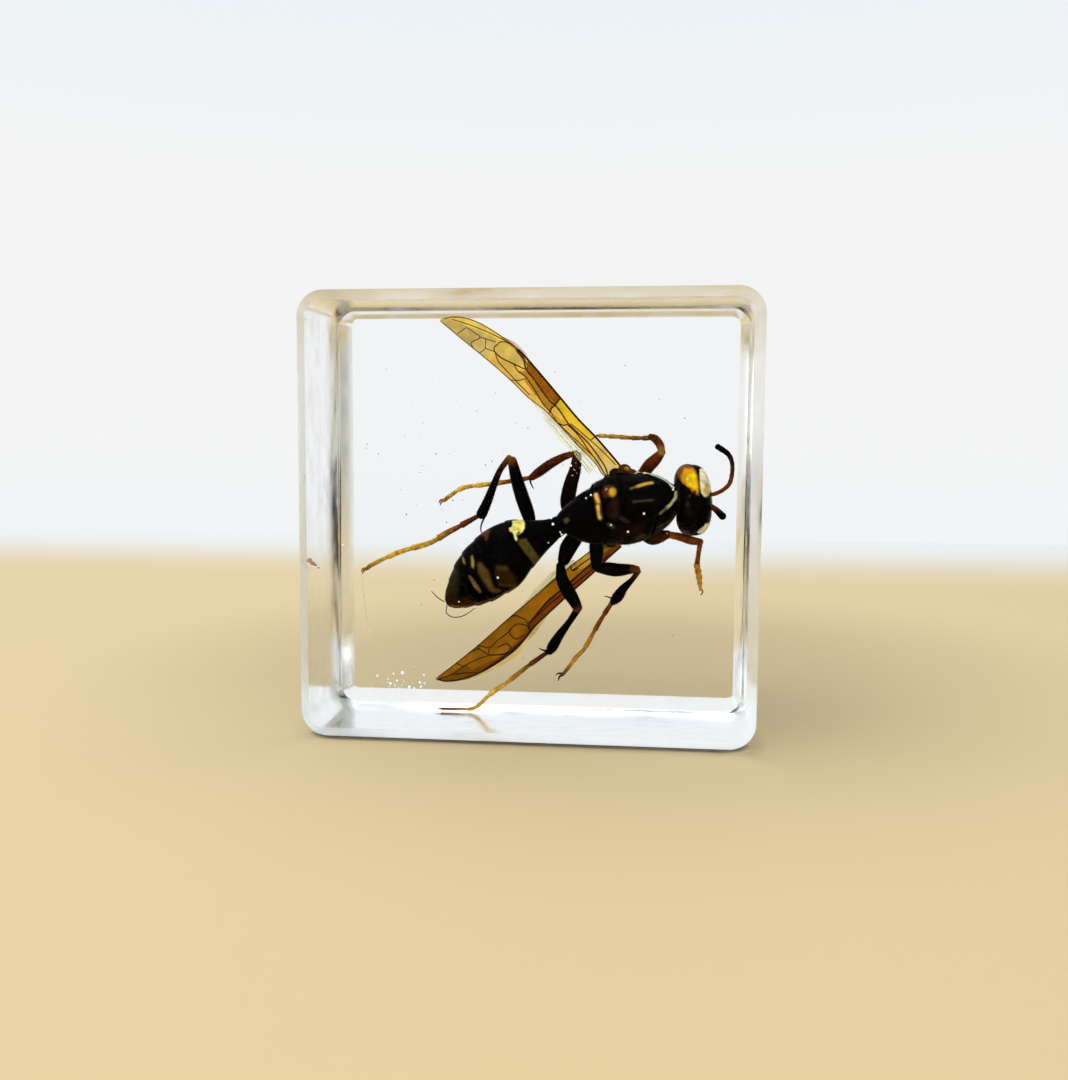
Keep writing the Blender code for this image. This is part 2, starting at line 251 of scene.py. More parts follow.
def buildBlock():
    look = blockShape
    half, depth, height = look["width"] / 2, look["depth"], look["height"]
    frontRows = rimRows(look["frontRim"], -depth / 2, -1)
    rims = {side: frontRows + rimRows(arcs, depth / 2, 1)[::-1] for side, arcs in look["backRims"].items()}
    turns = [math.radians(90 * quarter + 90 * i / look["cornerSteps"])
             for quarter in range(4) for i in range(look["cornerSteps"] + 1)]
    around, rows = len(turns), len(rims["top"])
    places, normals = [], []
    for row in range(rows):
        for k, turn in enumerate(turns):
            quarter, across, up = k // (look["cornerSteps"] + 1), math.cos(turn), math.sin(turn)
            side, top = (1, -1, -1, 1)[quarter], (1, 1, -1, -1)[quarter]
            flank, level = rims["right" if side > 0 else "left"][row], rims["top" if top > 0 else "bottom"][row]
            y, _, facing = (a + (b - a) * up * up for a, b in zip(flank, level))  # from one to the other
            corner = look["frontCorner"] + (look["backCorner"] - look["frontCorner"]) * (y / depth + 0.5)
            x = side * (half - corner) + (corner - flank[1]) * across
            z = height / 2 + top * (height / 2 - corner) + (corner - level[1]) * up
            places.append((x * mm, y * mm, z * mm))
            upright = math.sqrt(1 - facing * facing)
            normals.append((upright * across, facing, upright * up))
    faces = []
    for i in range(rows - 1):
        for k in range(around):
            a, b, after = i * around, (i + 1) * around, (k + 1) % around
            faces.append((a + k, a + after, b + after, b + k))
    last = (rows - 1) * around
    faces += [tuple(range(around))[::-1], tuple(range(last, last + around))]
    mesh = bpy.data.meshes.new("resinBlock")
    mesh.from_pydata(places, [], faces)
    if mesh.polygons[-1].normal.y < 0:
        mesh.flip_normals()
    mesh.polygons.foreach_set("use_smooth", [True] * len(mesh.polygons))
    sanded, corners = [], [None] * len(mesh.loops)
    for face in mesh.polygons:
        ring, flat = face.index // around, face.index >= len(faces) - 2
        wall, front = ring == len(frontRows) - 1, ring < len(frontRows) - 1
        fade = min(1.0, look["sandFade"] * (1 - ring / (len(frontRows) - 1)))
        sanded.append(0.0 if flat else look["wallSand"] if wall else look["frontSand"] * fade if front
                      else look["backSand"])
        for corner in face.loop_indices:
            x, y, z = normals[mesh.loops[corner].vertex_index]
            corners[corner] = face.normal if flat else Vector((x, 0, z)).normalized() if wall else (x, y, z)
    mesh.attributes.new("sanded", "FLOAT", "FACE").data.foreach_set("value", sanded)
    mesh.normals_split_custom_set(corners)
    mesh.materials.append(resinMaterial())
    block = link(bpy.data.objects.new("resinBlock", mesh))
    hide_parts("resin_front", "resin_back")
    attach(block, "root")


buildBlock()
print("resin block is built")


def smoothRows(rows, perSpan):  # rows of numbers, with a smooth curve through them
    rows = np.asarray(rows, float)
    padded = np.vstack([2 * rows[0] - rows[1], rows, 2 * rows[-1] - rows[-2]])
    steps = np.arange(perSpan)[:, None] / perSpan
    spans = []
    for a, b, c, d in zip(padded, padded[1:], padded[2:], padded[3:]):
        spans.append(0.5 * (2 * b + (c - a) * steps + (2 * a - 5 * b + 4 * c - d) * steps ** 2
                            + (3 * b - a - 3 * c + d) * steps ** 3))
    return np.vstack([*spans, rows[-1:]])


def smoothStep(value, low, high):
    share = np.clip((value - low) / (high - low), 0.0, 1.0)
    return share * share * (3 - 2 * share)


def nearLine(places, line):  # distance from each place to a line of points
    line = np.asarray(line, float)
    if len(line) == 1:
        return np.linalg.norm(places - line[0], axis=1)
    best = np.full(len(places), 1e9)
    for start, end in zip(line, line[1:]):
        way = end - start
        share = np.clip((places - start) @ way / (way @ way), 0.0, 1.0)
        best = np.minimum(best, np.linalg.norm(places - start - share[:, None] * way, axis=1))
    return best


def inside(places, outline):  # which places lie in a closed outline
    within = np.zeros(len(places), bool)
    outline = np.asarray(outline, float)
    for (x0, y0), (x1, y1) in zip(outline, np.roll(outline, -1, axis=0)):
        crosses = (y0 > places[:, 1]) != (y1 > places[:, 1])
        reach = (x1 - x0) * (places[:, 1] - y0) / ((y1 - y0) if y1 != y0 else 1e-9) + x0
        within ^= crosses & (places[:, 0] < reach)
    return within


def bodyAxes(centre, heading, roll):  # forward, left and back of a part of the body, as in the solid
    turn, lean = math.radians(heading), math.radians(roll)
    forward = np.array((math.cos(turn), 0.0, math.sin(turn)))
    upward = np.array((-math.sin(turn), 0.0, math.cos(turn)))
    back = np.array((0.0, -1.0, 0.0)) * math.cos(lean) + upward * math.sin(lean)
    return np.array(centre, float), forward, np.cross(back, forward), back, upward


def outOf(axes, local):
    return axes[0] + local[:, :1] * axes[1] + local[:, 1:2] * axes[2] + local[:, 2:3] * axes[3]


def ringFaces(rows, around):  # closed rings in a row, with a pole at either end
    faces = []
    for i in range(rows - 1):
        for j in range(around):
            k = (j + 1) % around
            a, b = i * around, (i + 1) * around
            faces.append((a + j, a + k, b + k, b + j))
    last, poles = (rows - 1) * around, rows * around
    for j in range(around):
        k = (j + 1) % around
        faces.append((poles, k, j))
        faces.append((poles + 1, last + j, last + k))
    return faces


def paint(places, base, marks):  # the base colour with soft-edged marks on it
    tint = np.array(base, float) * np.ones((len(places), 1))
    for mark in marks:
        near = nearLine(places, mark["line"])
        soft = mark.get("soft", 0.25) * mark["width"]
        share = 1 - smoothStep(near, mark["width"] - soft, mark["width"] + soft)
        tint += (np.array(mark["colour"]) - tint) * share[:, None]
    return tint


patchBehind = 1.4  # no patch reaches further back than this
patchRagged = dict(  # how the edges of patches waver
    height=0.035, across=8.3, up=9.1, sway=2.1, swayPitch=5.7,
)


def patched(places, tint, patches):  # soft patches towards the viewer, their outlines in x and z
    flat = places[:, (0, 2)]
    look = patchRagged
    sway = look["sway"] * np.sin(flat[:, 1] * look["swayPitch"])
    ragged = look["height"] * np.sin(flat[:, 0] * look["across"] + sway) * np.sin(flat[:, 1] * look["up"])
    for patch in patches:
        outline = np.array(patch["outline"], float)
        outline = smoothRows(np.vstack([outline, outline[:1]]), 4)
        edge = nearLine(flat, outline)
        within = np.where(inside(flat, outline[:-1]), edge, -edge) + ragged
        share = smoothStep(within, -patch["soft"], patch["soft"]) * (places[:, 1] < patchBehind)
        tint = tint + (np.array(patch["colour"]) - tint) * share[:, None]
    return tint


def solidPiece(name, places, faces, material, tint):  # places in millimetres
    mesh = bpy.data.meshes.new(name)
    mesh.from_pydata((np.asarray(places) * mm).tolist(), [], faces)
    mesh.materials.append(material)
    bm = bmesh.new()
    bm.from_mesh(mesh)
    bmesh.ops.recalc_face_normals(bm, faces=bm.faces)
    bm.to_mesh(mesh)
    bm.free()
    mesh.polygons.foreach_set("use_smooth", [True] * len(mesh.polygons))
    colours = mesh.color_attributes.new("tint", "FLOAT_COLOR", "POINT")
    colours.data.foreach_set("color", np.hstack([tint, np.ones((len(tint), 1))]).ravel())
    return link(bpy.data.objects.new(name, mesh))


def waspPiece(obj):
    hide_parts("wasp")
    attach(obj, "root")


shellLook = dict(roughness=0.3, specular=0.012, mottle=0.3, mottleScale=1500.0, grainScale=5200.0, grain=0.25)
legLook = dict(roughness=0.4, specular=0.012, mottle=0.45, mottleScale=2600.0, grainScale=6500.0, grain=0.3)
veinLook = dict(roughness=0.45, specular=0.06, mottle=0.3, mottleScale=1800.0, grainScale=5000.0, grain=0.2)
filmLook = dict(roughness=0.12, refraction=1.04, glass=0.86, mottle=0.22, mottleScale=700.0)
eyeLook = dict(roughness=0.25, specular=0.03, mottle=0.12, mottleScale=3000.0, grainScale=9000.0, grain=0.5)
hairLook = dict(roughness=0.5, specular=0.1, mottle=0.3, mottleScale=900.0, grainScale=3000.0, grain=0.0)
dustLook = dict(roughness=0.8, specular=0.1, mottle=0.3, mottleScale=2000.0, grainScale=4000.0, grain=0.0)
grainHeight = 0.03 * mm


def mottled(tree, look):  # the painted tint, made uneven by a fine noise
    place = addNode(tree, "ShaderNodeTexCoord").outputs["Object"]
    tint = addNode(tree, "ShaderNodeAttribute", attribute_name="tint")
    noise = addNode(tree, "ShaderNodeTexNoise", {"Vector": place, "Scale": look["mottleScale"], "Detail": 3.0})
    spread = {"Value": noise.outputs["Fac"], "From Min": 0.3, "From Max": 0.7,
              "To Min": 1.0 - look["mottle"], "To Max": 1.0 + look["mottle"]}
    share = addNode(tree, "ShaderNodeMapRange", spread).outputs["Result"]
    uneven = {0: tint.outputs["Color"], "Scale": share}
    return place, addNode(tree, "ShaderNodeVectorMath", uneven, operation="SCALE").outputs["Vector"]


def shellMaterial(name, look):
    material, tree, shader = newMaterial(name)
    place, colour = mottled(tree, look)
    tree.links.new(colour, shader.inputs["Base Color"])
    shader.inputs["Roughness"].default_value = look["roughness"]
    shader.inputs["Specular IOR Level"].default_value = look["specular"]
    grain = addNode(tree, "ShaderNodeTexNoise", {"Vector": place, "Scale": look["grainScale"], "Detail": 2.0})
    bump = addNode(tree, "ShaderNodeBump", {"Height": grain.outputs["Fac"], "Strength": look["grain"],
                                            "Distance": grainHeight})
    tree.links.new(bump.outputs["Normal"], shader.inputs["Normal"])
    return material


def filmMaterial(name, look):
    material, tree, shader = newMaterial(name)
    colour = mottled(tree, look)[1]
    tree.links.new(colour, shader.inputs["Base Color"])
    shader.inputs["Roughness"].default_value = look["roughness"]
    shader.inputs["IOR"].default_value = look["refraction"]
    shader.inputs["Transmission Weight"].default_value = look["glass"]
    return material


waspShell = shellMaterial("waspShell", shellLook)
legShell = shellMaterial("legShell", legLook)
wingVein = shellMaterial("wingVein", veinLook)
wingFilm = filmMaterial("wingFilm", filmLook)
eyeShell = shellMaterial("eyeShell", eyeLook)
hairShell = shellMaterial("hairShell", hairLook)
dustShell = shellMaterial("dustShell", dustLook)


def newTree(name, inputs):  # a geometry tree with named inputs
    tree = bpy.data.node_groups.new(name, "GeometryNodeTree")
    for label, kind, value in [("Geometry", "Geometry", None), *inputs, ("Material", "Material", None)]:
        socket = tree.interface.new_socket(label, in_out="INPUT", socket_type="NodeSocket" + kind)
        if value is not None:
            socket.default_value = value
    tree.interface.new_socket("Geometry", in_out="OUTPUT", socket_type="NodeSocketGeometry")
    return tree, addNode(tree, "NodeGroupInput").outputs


def finishTree(tree, geometry, material):
    realized = addNode(tree, "GeometryNodeRealizeInstances", {"Geometry": geometry})
    painted = addNode(tree, "GeometryNodeSetMaterial", {"Geometry": realized.outputs[0], "Material": material})
    addNode(tree, "NodeGroupOutput", {"Geometry": painted.outputs[0]})
    return tree


def strandTree():  # tubes along lines, with a waist at each joint
    tree, given = newTree("strands", [("Sides", "Int", 10), ("Segments", "Int", 1), ("Waist", "Float", 1.0),
                                      ("Spacing", "Float", 0.1 * mm)])

    def worked(operation, a, b=0.0):
        return addNode(tree, "ShaderNodeMath", {0: a, 1: b}, operation=operation).outputs[0]

    line = addNode(tree, "GeometryNodeMeshToCurve", {"Mesh": given["Geometry"]})
    line = addNode(tree, "GeometryNodeResampleCurve", {"Curve": line.outputs[0], "Length": given["Spacing"]},
                   mode="LENGTH")
    along = addNode(tree, "GeometryNodeSplineParameter")
    share = worked("FRACT", worked("MULTIPLY", along.outputs["Factor"], given["Segments"]))
    share = worked("POWER", share, 0.8)
    flare = addNode(tree, "ShaderNodeMapRange", {"Value": share, "To Min": given["Waist"]})
    thick = addNode(tree, "GeometryNodeInputNamedAttribute", {"Name": "thick"}, data_type="FLOAT")
    radius = worked("MULTIPLY", thick.outputs["Attribute"], flare.outputs["Result"])
    circle = addNode(tree, "GeometryNodeCurvePrimitiveCircle", {"Radius": 1.0, "Resolution": given["Sides"]})
    sweep = {"Curve": line.outputs[0], "Profile Curve": circle.outputs[0], "Scale": radius, "Fill Caps": True}
    tube = addNode(tree, "GeometryNodeCurveToMesh", sweep)
    smooth = addNode(tree, "GeometryNodeSetShadeSmooth", {"Geometry": tube.outputs[0]})
    return finishTree(tree, smooth.outputs[0], given["Material"])


strands = strandTree()


def growTree(host, tree, values):  # runs the tree on the host and leaves a plain mesh in its place
    modifier = host.modifiers.new("grow", "NODES")
    modifier.node_group = tree
    for item in tree.interface.items_tree:
        if item.in_out == "INPUT" and item.name in values:
            modifier[item.identifier] = values[item.name]
    bpy.context.view_layer.update()
    mesh = bpy.data.meshes.new_from_object(host.evaluated_get(bpy.context.evaluated_depsgraph_get()))
    mesh.name = host.name
    host.modifiers.clear()
    host.data = mesh
    return host


endCaps = ((1.0, 0.08), (0.9, 0.45), (0.6, 0.8), (0.3, 0.95))  # how far past an end, and how thin there


def roundEnds(rows):  # rows of x, y, z, radius with a rounded cap at either end
    first, last = rows[0], rows[-1]
    startWay = first[:3] - rows[1][:3]
    endWay = last[:3] - rows[-2][:3]
    startWay, endWay = startWay / np.linalg.norm(startWay), endWay / np.linalg.norm(endWay)
    before = [(*(first[:3] + startWay * first[3] * out), first[3] * thin) for out, thin in endCaps]
    after = [(*(last[:3] + endWay * last[3] * out), last[3] * thin) for out, thin in endCaps[::-1]]
    return np.vstack([before, rows, after])


def strandPiece(name, lines, material, sides, spacing, segments=1, waist=1.0):
    # each line: rows of x, y, z, radius in millimetres and colour stops along it
    places, thick, tint, edges = [], [], [], []
    for rows, stops in lines:
        rows = roundEnds(smoothRows(rows, 6))
        start = len(places)
        travelled = np.concatenate([[0], np.cumsum(np.linalg.norm(np.diff(rows[:, :3], axis=0), axis=1))])
        share = travelled / travelled[-1]
        marks = [stop for stop, _ in stops]
        for row, at in zip(rows, share):
            places.append(tuple(row[:3] * mm))
            thick.append(row[3] * mm)
            tint.append([np.interp(at, marks, [colour[i] for _, colour in stops]) for i in range(3)] + [1.0])
        edges += [(i, i + 1) for i in range(start, len(places) - 1)]
    mesh = bpy.data.meshes.new(name)
    mesh.from_pydata(places, edges, [])
    mesh.attributes.new("thick", "FLOAT", "POINT").data.foreach_set("value", thick)
    mesh.color_attributes.new("tint", "FLOAT_COLOR", "POINT").data.foreach_set("color", np.ravel(tint))
    host = link(bpy.data.objects.new(name, mesh))
    return growTree(host, strands, {"Sides": sides, "Segments": segments, "Waist": waist,
                                    "Spacing": spacing * mm, "Material": material})


black = (0.0012, 0.0009, 0.0008)
yellow = (0.62, 0.46, 0.11)
rust = (0.075, 0.018, 0.006)

thoraxShape = dict(
    centre=(8.1, 0.2, 20.2), heading=12.5, roll=18.0, heightRatio=1.06, stations=180, around=168,
    profile=[(-5.9, 0.55), (-5.6, 0.95), (-5.0, 1.5), (-4.2, 2.1), (-3.0, 2.62), (-1.6, 2.95), (0.0, 3.27),
             (1.2, 3.22), (2.5, 2.95), (3.5, 2.5), (4.3, 1.98), (5.0, 1.3), (5.8, 0.88), (6.3, 0.45)],
    # raised plates: along, left, reach along, reach left, height
    plates=[(2.2, 0.0, 2.3, 2.1, 0.14), (-0.55, 0.0, 0.85, 1.5, 0.16), (-0.7, 0.95, 0.7, 0.75, 0.16),
            (-1.95, 0.0, 0.36, 1.5, 0.14)],
    # seams across the back: points along and left, with width and depth
    seams=[([(1.2, 2.85), (2.3, 2.35), (3.3, 1.6), (4.05, 0.7), (4.2, 0.0), (4.05, -0.7), (3.3, -1.6),
             (2.3, -2.35), (1.2, -2.85)], 0.12, 0.13),
           ([(0.5, 2.6), (0.35, 1.3), (0.42, 0.0), (0.35, -1.3), (0.5, -2.6)], 0.13, 0.16),
           ([(-0.9, 2.4), (-1.42, 1.3), (-1.5, 0.0), (-1.42, -1.3), (-0.9, -2.4)], 0.12, 0.16),
           ([(-1.9, 2.3), (-2.32, 1.2), (-2.42, 0.0), (-2.32, -1.2), (-1.9, -2.3)], 0.12, 0.15),
           ([(1.0, 0.95), (3.3, 1.0)], 0.06, 0.05), ([(1.0, -0.95), (3.3, -1.0)], 0.06, 0.05),
           ([(4.7, 0.9), (4.85, 0.0), (4.7, -0.9)], 0.1, 0.08)],
    # seams down each flank: points along and back
    flankSeams=[([(2.9, 1.9), (2.3, 0.8), (2.1, -0.6), (1.6, -2.4)], 0.14, 0.14),
                ([(-0.2, 1.6), (-0.5, 0.2), (-1.3, -1.0), (-1.5, -2.6)], 0.14, 0.16),
                ([(-1.9, 1.5), (-2.2, 0.0), (-2.9, -1.6)], 0.12, 0.14),
                ([(2.2, -0.2), (0.8, 0.3), (-0.4, 0.1)], 0.1, 0.09)],
    # how steeply plates end, the furrow and fine cross ribs behind, and the narrowing behind the wings
    plateEnd=(0.55, 1.15), rear=(2.5, 3.3), furrow=0.16, furrowWidth=0.4, rib=0.018, ribPitch=26.0,
    shoulder=0.34, shoulderAt=(2.0, 2.5), tip=0.12,
    marks=[  # colour on the back: points along, left and back, with the half width
        dict(line=[(1.55, 2.66, 1.75), (2.2, 2.7, 1.45), (2.75, 2.6, 1.3), (3.44, 2.15, 1.48)], width=0.2,
             colour=(0.92, 0.76, 0.36)),
        dict(line=[(3.44, 2.15, 1.48), (4.24, 1.6, 1.32), (4.76, 1.06, 1.15), (4.96, 0.72, 1.19)], width=0.17,
             colour=(0.88, 0.84, 0.52)),
        dict(line=[(5.14, 0.12, 1.28), (4.98, -0.38, 1.34), (4.55, -0.87, 1.6), (4.04, -1.24, 1.89)],
             width=0.16, colour=(0.66, 0.64, 0.32)),
        dict(line=[(4.04, -1.24, 1.89), (3.4, -1.7, 2.05)], width=0.12, colour=(0.14, 0.13, 0.05)),
        dict(line=[(4.67, -1.52, 0.56), (3.9, -2.19, 0.59), (2.9, -2.6, 1.0)], width=0.1,
             colour=(0.08, 0.075, 0.03)),
        dict(line=[(1.29, 0.71, 3.48), (2.3, 0.9, 3.2)], width=0.1, colour=(0.20, 0.11, 0.03), soft=0.6),
        dict(line=[(1.94, 0.85, 3.32), (2.73, 0.99, 3.01), (3.2, 1.05, 2.68)], width=0.15,
             colour=(0.62, 0.36, 0.05), soft=0.5),
        dict(line=[(1.23, -0.55, 3.52), (2.11, -0.61, 3.34), (2.98, -0.62, 3.0)], width=0.08,
             colour=(0.055, 0.046, 0.016), soft=0.6),
        dict(line=[(-0.73, 0.95, 3.38)], width=0.6, colour=(0.12, 0.024, 0.005), soft=0.4),
        dict(line=[(-0.36, 0.8, 3.5), (-0.4, 0.6, 3.5)], width=0.3, colour=(0.72, 0.42, 0.03), soft=0.5),
        # a painted highlight on the scutellum's dome
        dict(line=[(-0.86, 1.12, 3.3)], width=0.1, colour=(0.75, 0.5, 0.42), soft=0.8),
        dict(line=[(-0.35, -0.32, 3.5), (-0.8, -0.9, 3.1)], width=0.4, colour=(0.02, 0.007, 0.004), soft=0.7),
        dict(line=[(-1.86, 1.0, 3.0), (-1.85, 0.0, 3.2), (-1.97, -1.2, 2.84)], width=0.3,
             colour=(0.12, 0.04, 0.008)),
        dict(line=[(-1.89, 0.95, 3.01), (-1.77, 0.2, 3.2)], width=0.18, colour=(0.92, 0.56, 0.10), soft=0.4),
        dict(line=[(-1.91, -0.2, 3.17), (-1.97, -1.15, 2.84)], width=0.16, colour=(0.80, 0.56, 0.12), soft=0.4),
        dict(line=[(1.35, -3.09, 0.88), (1.0, -3.1, 0.5)], width=0.35, colour=(0.05, 0.022, 0.008)),
        dict(line=[(-3.4, 1.2, -1.0), (-3.9, 1.0, -0.7)], width=0.3, colour=(0.40, 0.28, 0.05)),
        dict(line=[(-3.4, -1.2, -1.0), (-3.9, -1.0, -0.7)], width=0.3, colour=(0.40, 0.28, 0.05)),
    ],
    patches=[
        dict(outline=[(7.34, 17.8), (8.78, 17.4), (9.93, 17.7), (10.6, 18.5), (9.82, 19.05), (8.4, 18.8),
                      (7.33, 18.6)],
             colour=(0.009, 0.0035, 0.0018), soft=0.35),
        dict(outline=[(6.87, 20.6), (7.4, 20.8), (7.95, 20.25), (7.87, 19.53), (7.15, 19.61)],
             colour=(0.016, 0.008, 0.005), soft=0.3),
        dict(outline=[(6.8, 19.0), (7.15, 19.06), (7.6, 18.71), (7.34, 18.53)], colour=(0.05, 0.045, 0.026),
             soft=0.1),
        dict(outline=[(7.95, 19.71), (8.58, 19.54), (8.94, 19.1), (8.22, 19.27)], colour=(0.03, 0.022, 0.012),
             soft=0.1),
        dict(outline=[(2.9, 19.2), (3.22, 19.42), (3.45, 19.22), (3.14, 18.9)], colour=(0.12, 0.10, 0.04),
             soft=0.12),
        dict(outline=[(12.7, 20.0), (13.3, 20.5), (13.6, 20.3), (13.0, 19.4), (12.35, 18.8), (12.1, 19.0)],
             colour=(0.012, 0.009, 0.005), soft=0.2),
    ],
)


def buildThorax():
    look = thoraxShape
    profile = smoothRows(look["profile"], 12)
    first, last = look["profile"][0][0], look["profile"][-1][0]
    along = np.linspace(first, last, look["stations"])
    radius = np.interp(along, profile[:, 0], profile[:, 1])
    angle = np.linspace(0, 2 * math.pi, look["around"], endpoint=False)
    t = np.repeat(along, len(angle))
    r = np.repeat(radius, len(angle))
    turn = np.tile(angle, len(along))
    left, back = r * np.sin(turn), r * np.cos(turn) * look["heightRatio"]
    raised = np.zeros(len(t))
    upper = smoothStep(back / np.maximum(r, 0.01), -0.1, 0.35)
    for a, l, reachA, reachL, height in look["plates"]:
        off = np.sqrt(((t - a) / reachA) ** 2 + ((left - l) / reachL) ** 2)
        raised += height * (1 - smoothStep(off, *look["plateEnd"])) * upper
    flat = np.column_stack([t, left])
    for line, width, depth in look["seams"]:
        raised -= depth * np.exp(-(nearLine(flat, smoothRows(line, 4)) / width) ** 2) * upper
    side = np.column_stack([t, back])
    flank = smoothStep(np.abs(left) / np.maximum(r, 0.01), 0.25, 0.6)
    for line, width, depth in look["flankSeams"]:
        raised -= depth * np.exp(-(nearLine(side, smoothRows(line, 4)) / width) ** 2) * flank
    rear = smoothStep(-t, *look["rear"])
    raised -= look["furrow"] * rear * upper * np.exp(-(left / look["furrowWidth"]) ** 2)
    raised += look["rib"] * rear * upper * np.sin(t * look["ribPitch"])
    raised -= look["shoulder"] * smoothStep(-t, *look["shoulderAt"]) * smoothStep(left, 0.4, 2.0)
    left, back = left + raised * np.sin(turn), back + raised * np.cos(turn)
    local = np.column_stack([t, left, back])
    poles = np.array([(first - look["tip"], 0.0, 0.0), (last + look["tip"], 0.0, 0.0)])
    local = np.vstack([local, poles])
    places = outOf(bodyAxes(look["centre"], look["heading"], look["roll"]), local)
    tint = paint(local, patched(places, np.tile(black, (len(places), 1)), look["patches"]), look["marks"])
    faces = ringFaces(len(along), len(angle))
    waspPiece(solidPiece("thorax", places, faces, waspShell, tint))


buildThorax()

headShape = dict(
    centre=(14.5, 0.2, 21.1), heading=4.0, roll=18.0, radii=(1.72, 3.16, 2.64), stations=110, around=130,
    boxy=0.8, parting=0.10, partingWidth=0.12, hollow=0.25,  # the line down the face and the hollow behind
    eyeAt=(-0.35, 1.75, 0.15), eyeRadii=(1.22, 1.5, 2.35), eye=(0.003, 0.0014, 0.001), eyeSteps=(60, 72),
    patches=[
        dict(outline=[(13.28, 24.04), (13.88, 24.28), (14.63, 23.96), (14.8, 23.32), (14.93, 22.5),
                      (14.95, 21.64),
                      (14.49, 21.89), (13.94, 22.33), (13.46, 22.73), (13.15, 23.22), (13.12, 23.64)],
             colour=(0.22, 0.055, 0.008), soft=0.05),  # the upper eye, brown at its rim and gold inside
        dict(outline=[(13.7, 24.0), (14.5, 23.9), (14.74, 23.3), (14.87, 22.5), (14.88, 21.8), (14.49, 22.0),
                      (13.94, 22.45), (13.5, 22.85), (13.4, 23.3)], colour=(0.78, 0.37, 0.008), soft=0.14),
        dict(outline=[(13.75, 23.1), (14.15, 23.55), (14.6, 23.45), (14.75, 22.6), (14.8, 22.1), (14.36, 22.35),
                      (13.95, 22.7)], colour=(1.0, 0.66, 0.008), soft=0.2),
        # a painted highlight on the gold of the upper eye
        dict(outline=[(13.86, 22.98), (13.99, 22.98), (13.99, 23.1), (13.86, 23.1)], colour=(1.0, 0.95, 0.6),
             soft=0.07),
        dict(outline=[(15.03, 23.88), (15.34, 23.95), (15.79, 23.68), (16.1, 23.04), (16.12, 22.33),
                      (15.92, 21.72), (15.6, 21.49), (15.22, 21.81), (15.09, 22.5), (15.03, 23.18)],
             colour=(0.96, 0.86, 0.56), soft=0.05),  # the pale side of the face
        dict(outline=[(15.66, 22.69), (15.95, 22.33), (15.83, 21.72), (15.52, 21.69), (15.34, 22.0)],
             colour=(0.58, 0.43, 0.10), soft=0.18),
        dict(outline=[(16.0, 19.13), (15.86, 18.67), (15.45, 18.22), (14.95, 18.18), (15.06, 18.48),
                      (15.4, 18.78), (15.63, 19.08)], colour=(0.86, 0.76, 0.42), soft=0.06),
        dict(outline=[(13.94, 21.11), (14.2, 20.85), (14.12, 20.49), (13.81, 20.66)],
             colour=(0.02, 0.018, 0.009), soft=0.12),
    ],
    smallSteps=(22, 28),
    small=[  # forehead dots, face plate and jaws: place, radii and colour
        ((0.15, 0.0, 2.6), (0.13, 0.13, 0.1), rust), ((-0.3, 0.33, 2.58), (0.12, 0.12, 0.1), rust),
        ((-0.3, -0.33, 2.58), (0.12, 0.12, 0.1), rust), ((1.32, 0.0, -1.05), (0.5, 1.25, 1.05), yellow),
        ((1.0, 0.62, -2.35), (0.5, 0.62, 0.42), rust), ((1.0, -0.62, -2.35), (0.5, 0.62, 0.42), rust)],
)


def ovalPoints(centre, radii, stations, around, boxy=1.0):  # rings round the left-right axis
    rise = np.linspace(-math.pi / 2, math.pi / 2, stations + 2)[1:-1]
    turn = np.linspace(0, 2 * math.pi, around, endpoint=False)
    a, b = np.repeat(rise, around), np.tile(turn, stations)

    def bend(value):
        return np.sign(value) * np.abs(value) ** boxy

    points = np.column_stack([bend(np.cos(a)) * bend(np.cos(b)), bend(np.sin(a)),
                              bend(np.cos(a)) * bend(np.sin(b))])
    points = np.vstack([points, [(0, -1, 0), (0, 1, 0)]])
    return points * np.array(radii) + np.array(centre), ringFaces(stations, around)


def buildHead():
    look = headShape
    axes = bodyAxes(look["centre"], look["heading"], look["roll"])
    local, faces = ovalPoints((0, 0, 0), look["radii"], look["stations"], look["around"], look["boxy"])
    t, l, b = local.T.copy()
    outward = local / np.linalg.norm(local, axis=1)[:, None]
    middle = np.exp(-(np.abs(l) / look["partingWidth"]) ** 2)
    raised = -look["parting"] * middle * smoothStep(t, 0.3, 1.0) * smoothStep(b, -1.0, 0.5)
    raised -= look["hollow"] * smoothStep(-t, 0.9, 1.6) * (1 - smoothStep(np.abs(l), 1.2, 2.4))
    local = local + outward * raised[:, None]
    places = outOf(axes, local)
    tint = patched(places, paint(local, black, []), look["patches"])
    waspPiece(solidPiece("head", places, faces, waspShell, tint))

    places, joined = [], []
    for side in (1, -1):
        at = np.array(look["eyeAt"]) * (1, side, 1)
        eye, eyeFaces = ovalPoints(at, look["eyeRadii"], *look["eyeSteps"])
        joined += [tuple(i + sum(map(len, places)) for i in face) for face in eyeFaces]
        places.append(eye)
    eyes = outOf(axes, np.vstack(places))
    tint = patched(eyes, paint(eyes, look["eye"], []), look["patches"])
    waspPiece(solidPiece("eyes", eyes, joined, eyeShell, tint))

    places, tints, joined = [], [], []
    for at, radii, colour in look["small"]:
        bead, beadFaces = ovalPoints(at, radii, *look["smallSteps"])
        joined += [tuple(i + sum(map(len, places)) for i in face) for face in beadFaces]
        tints.append(paint(bead, colour, []))
        places.append(bead)
    waspPiece(solidPiece("faceParts", outOf(axes, np.vstack(places)), joined, waspShell, np.vstack(tints)))


buildHead()

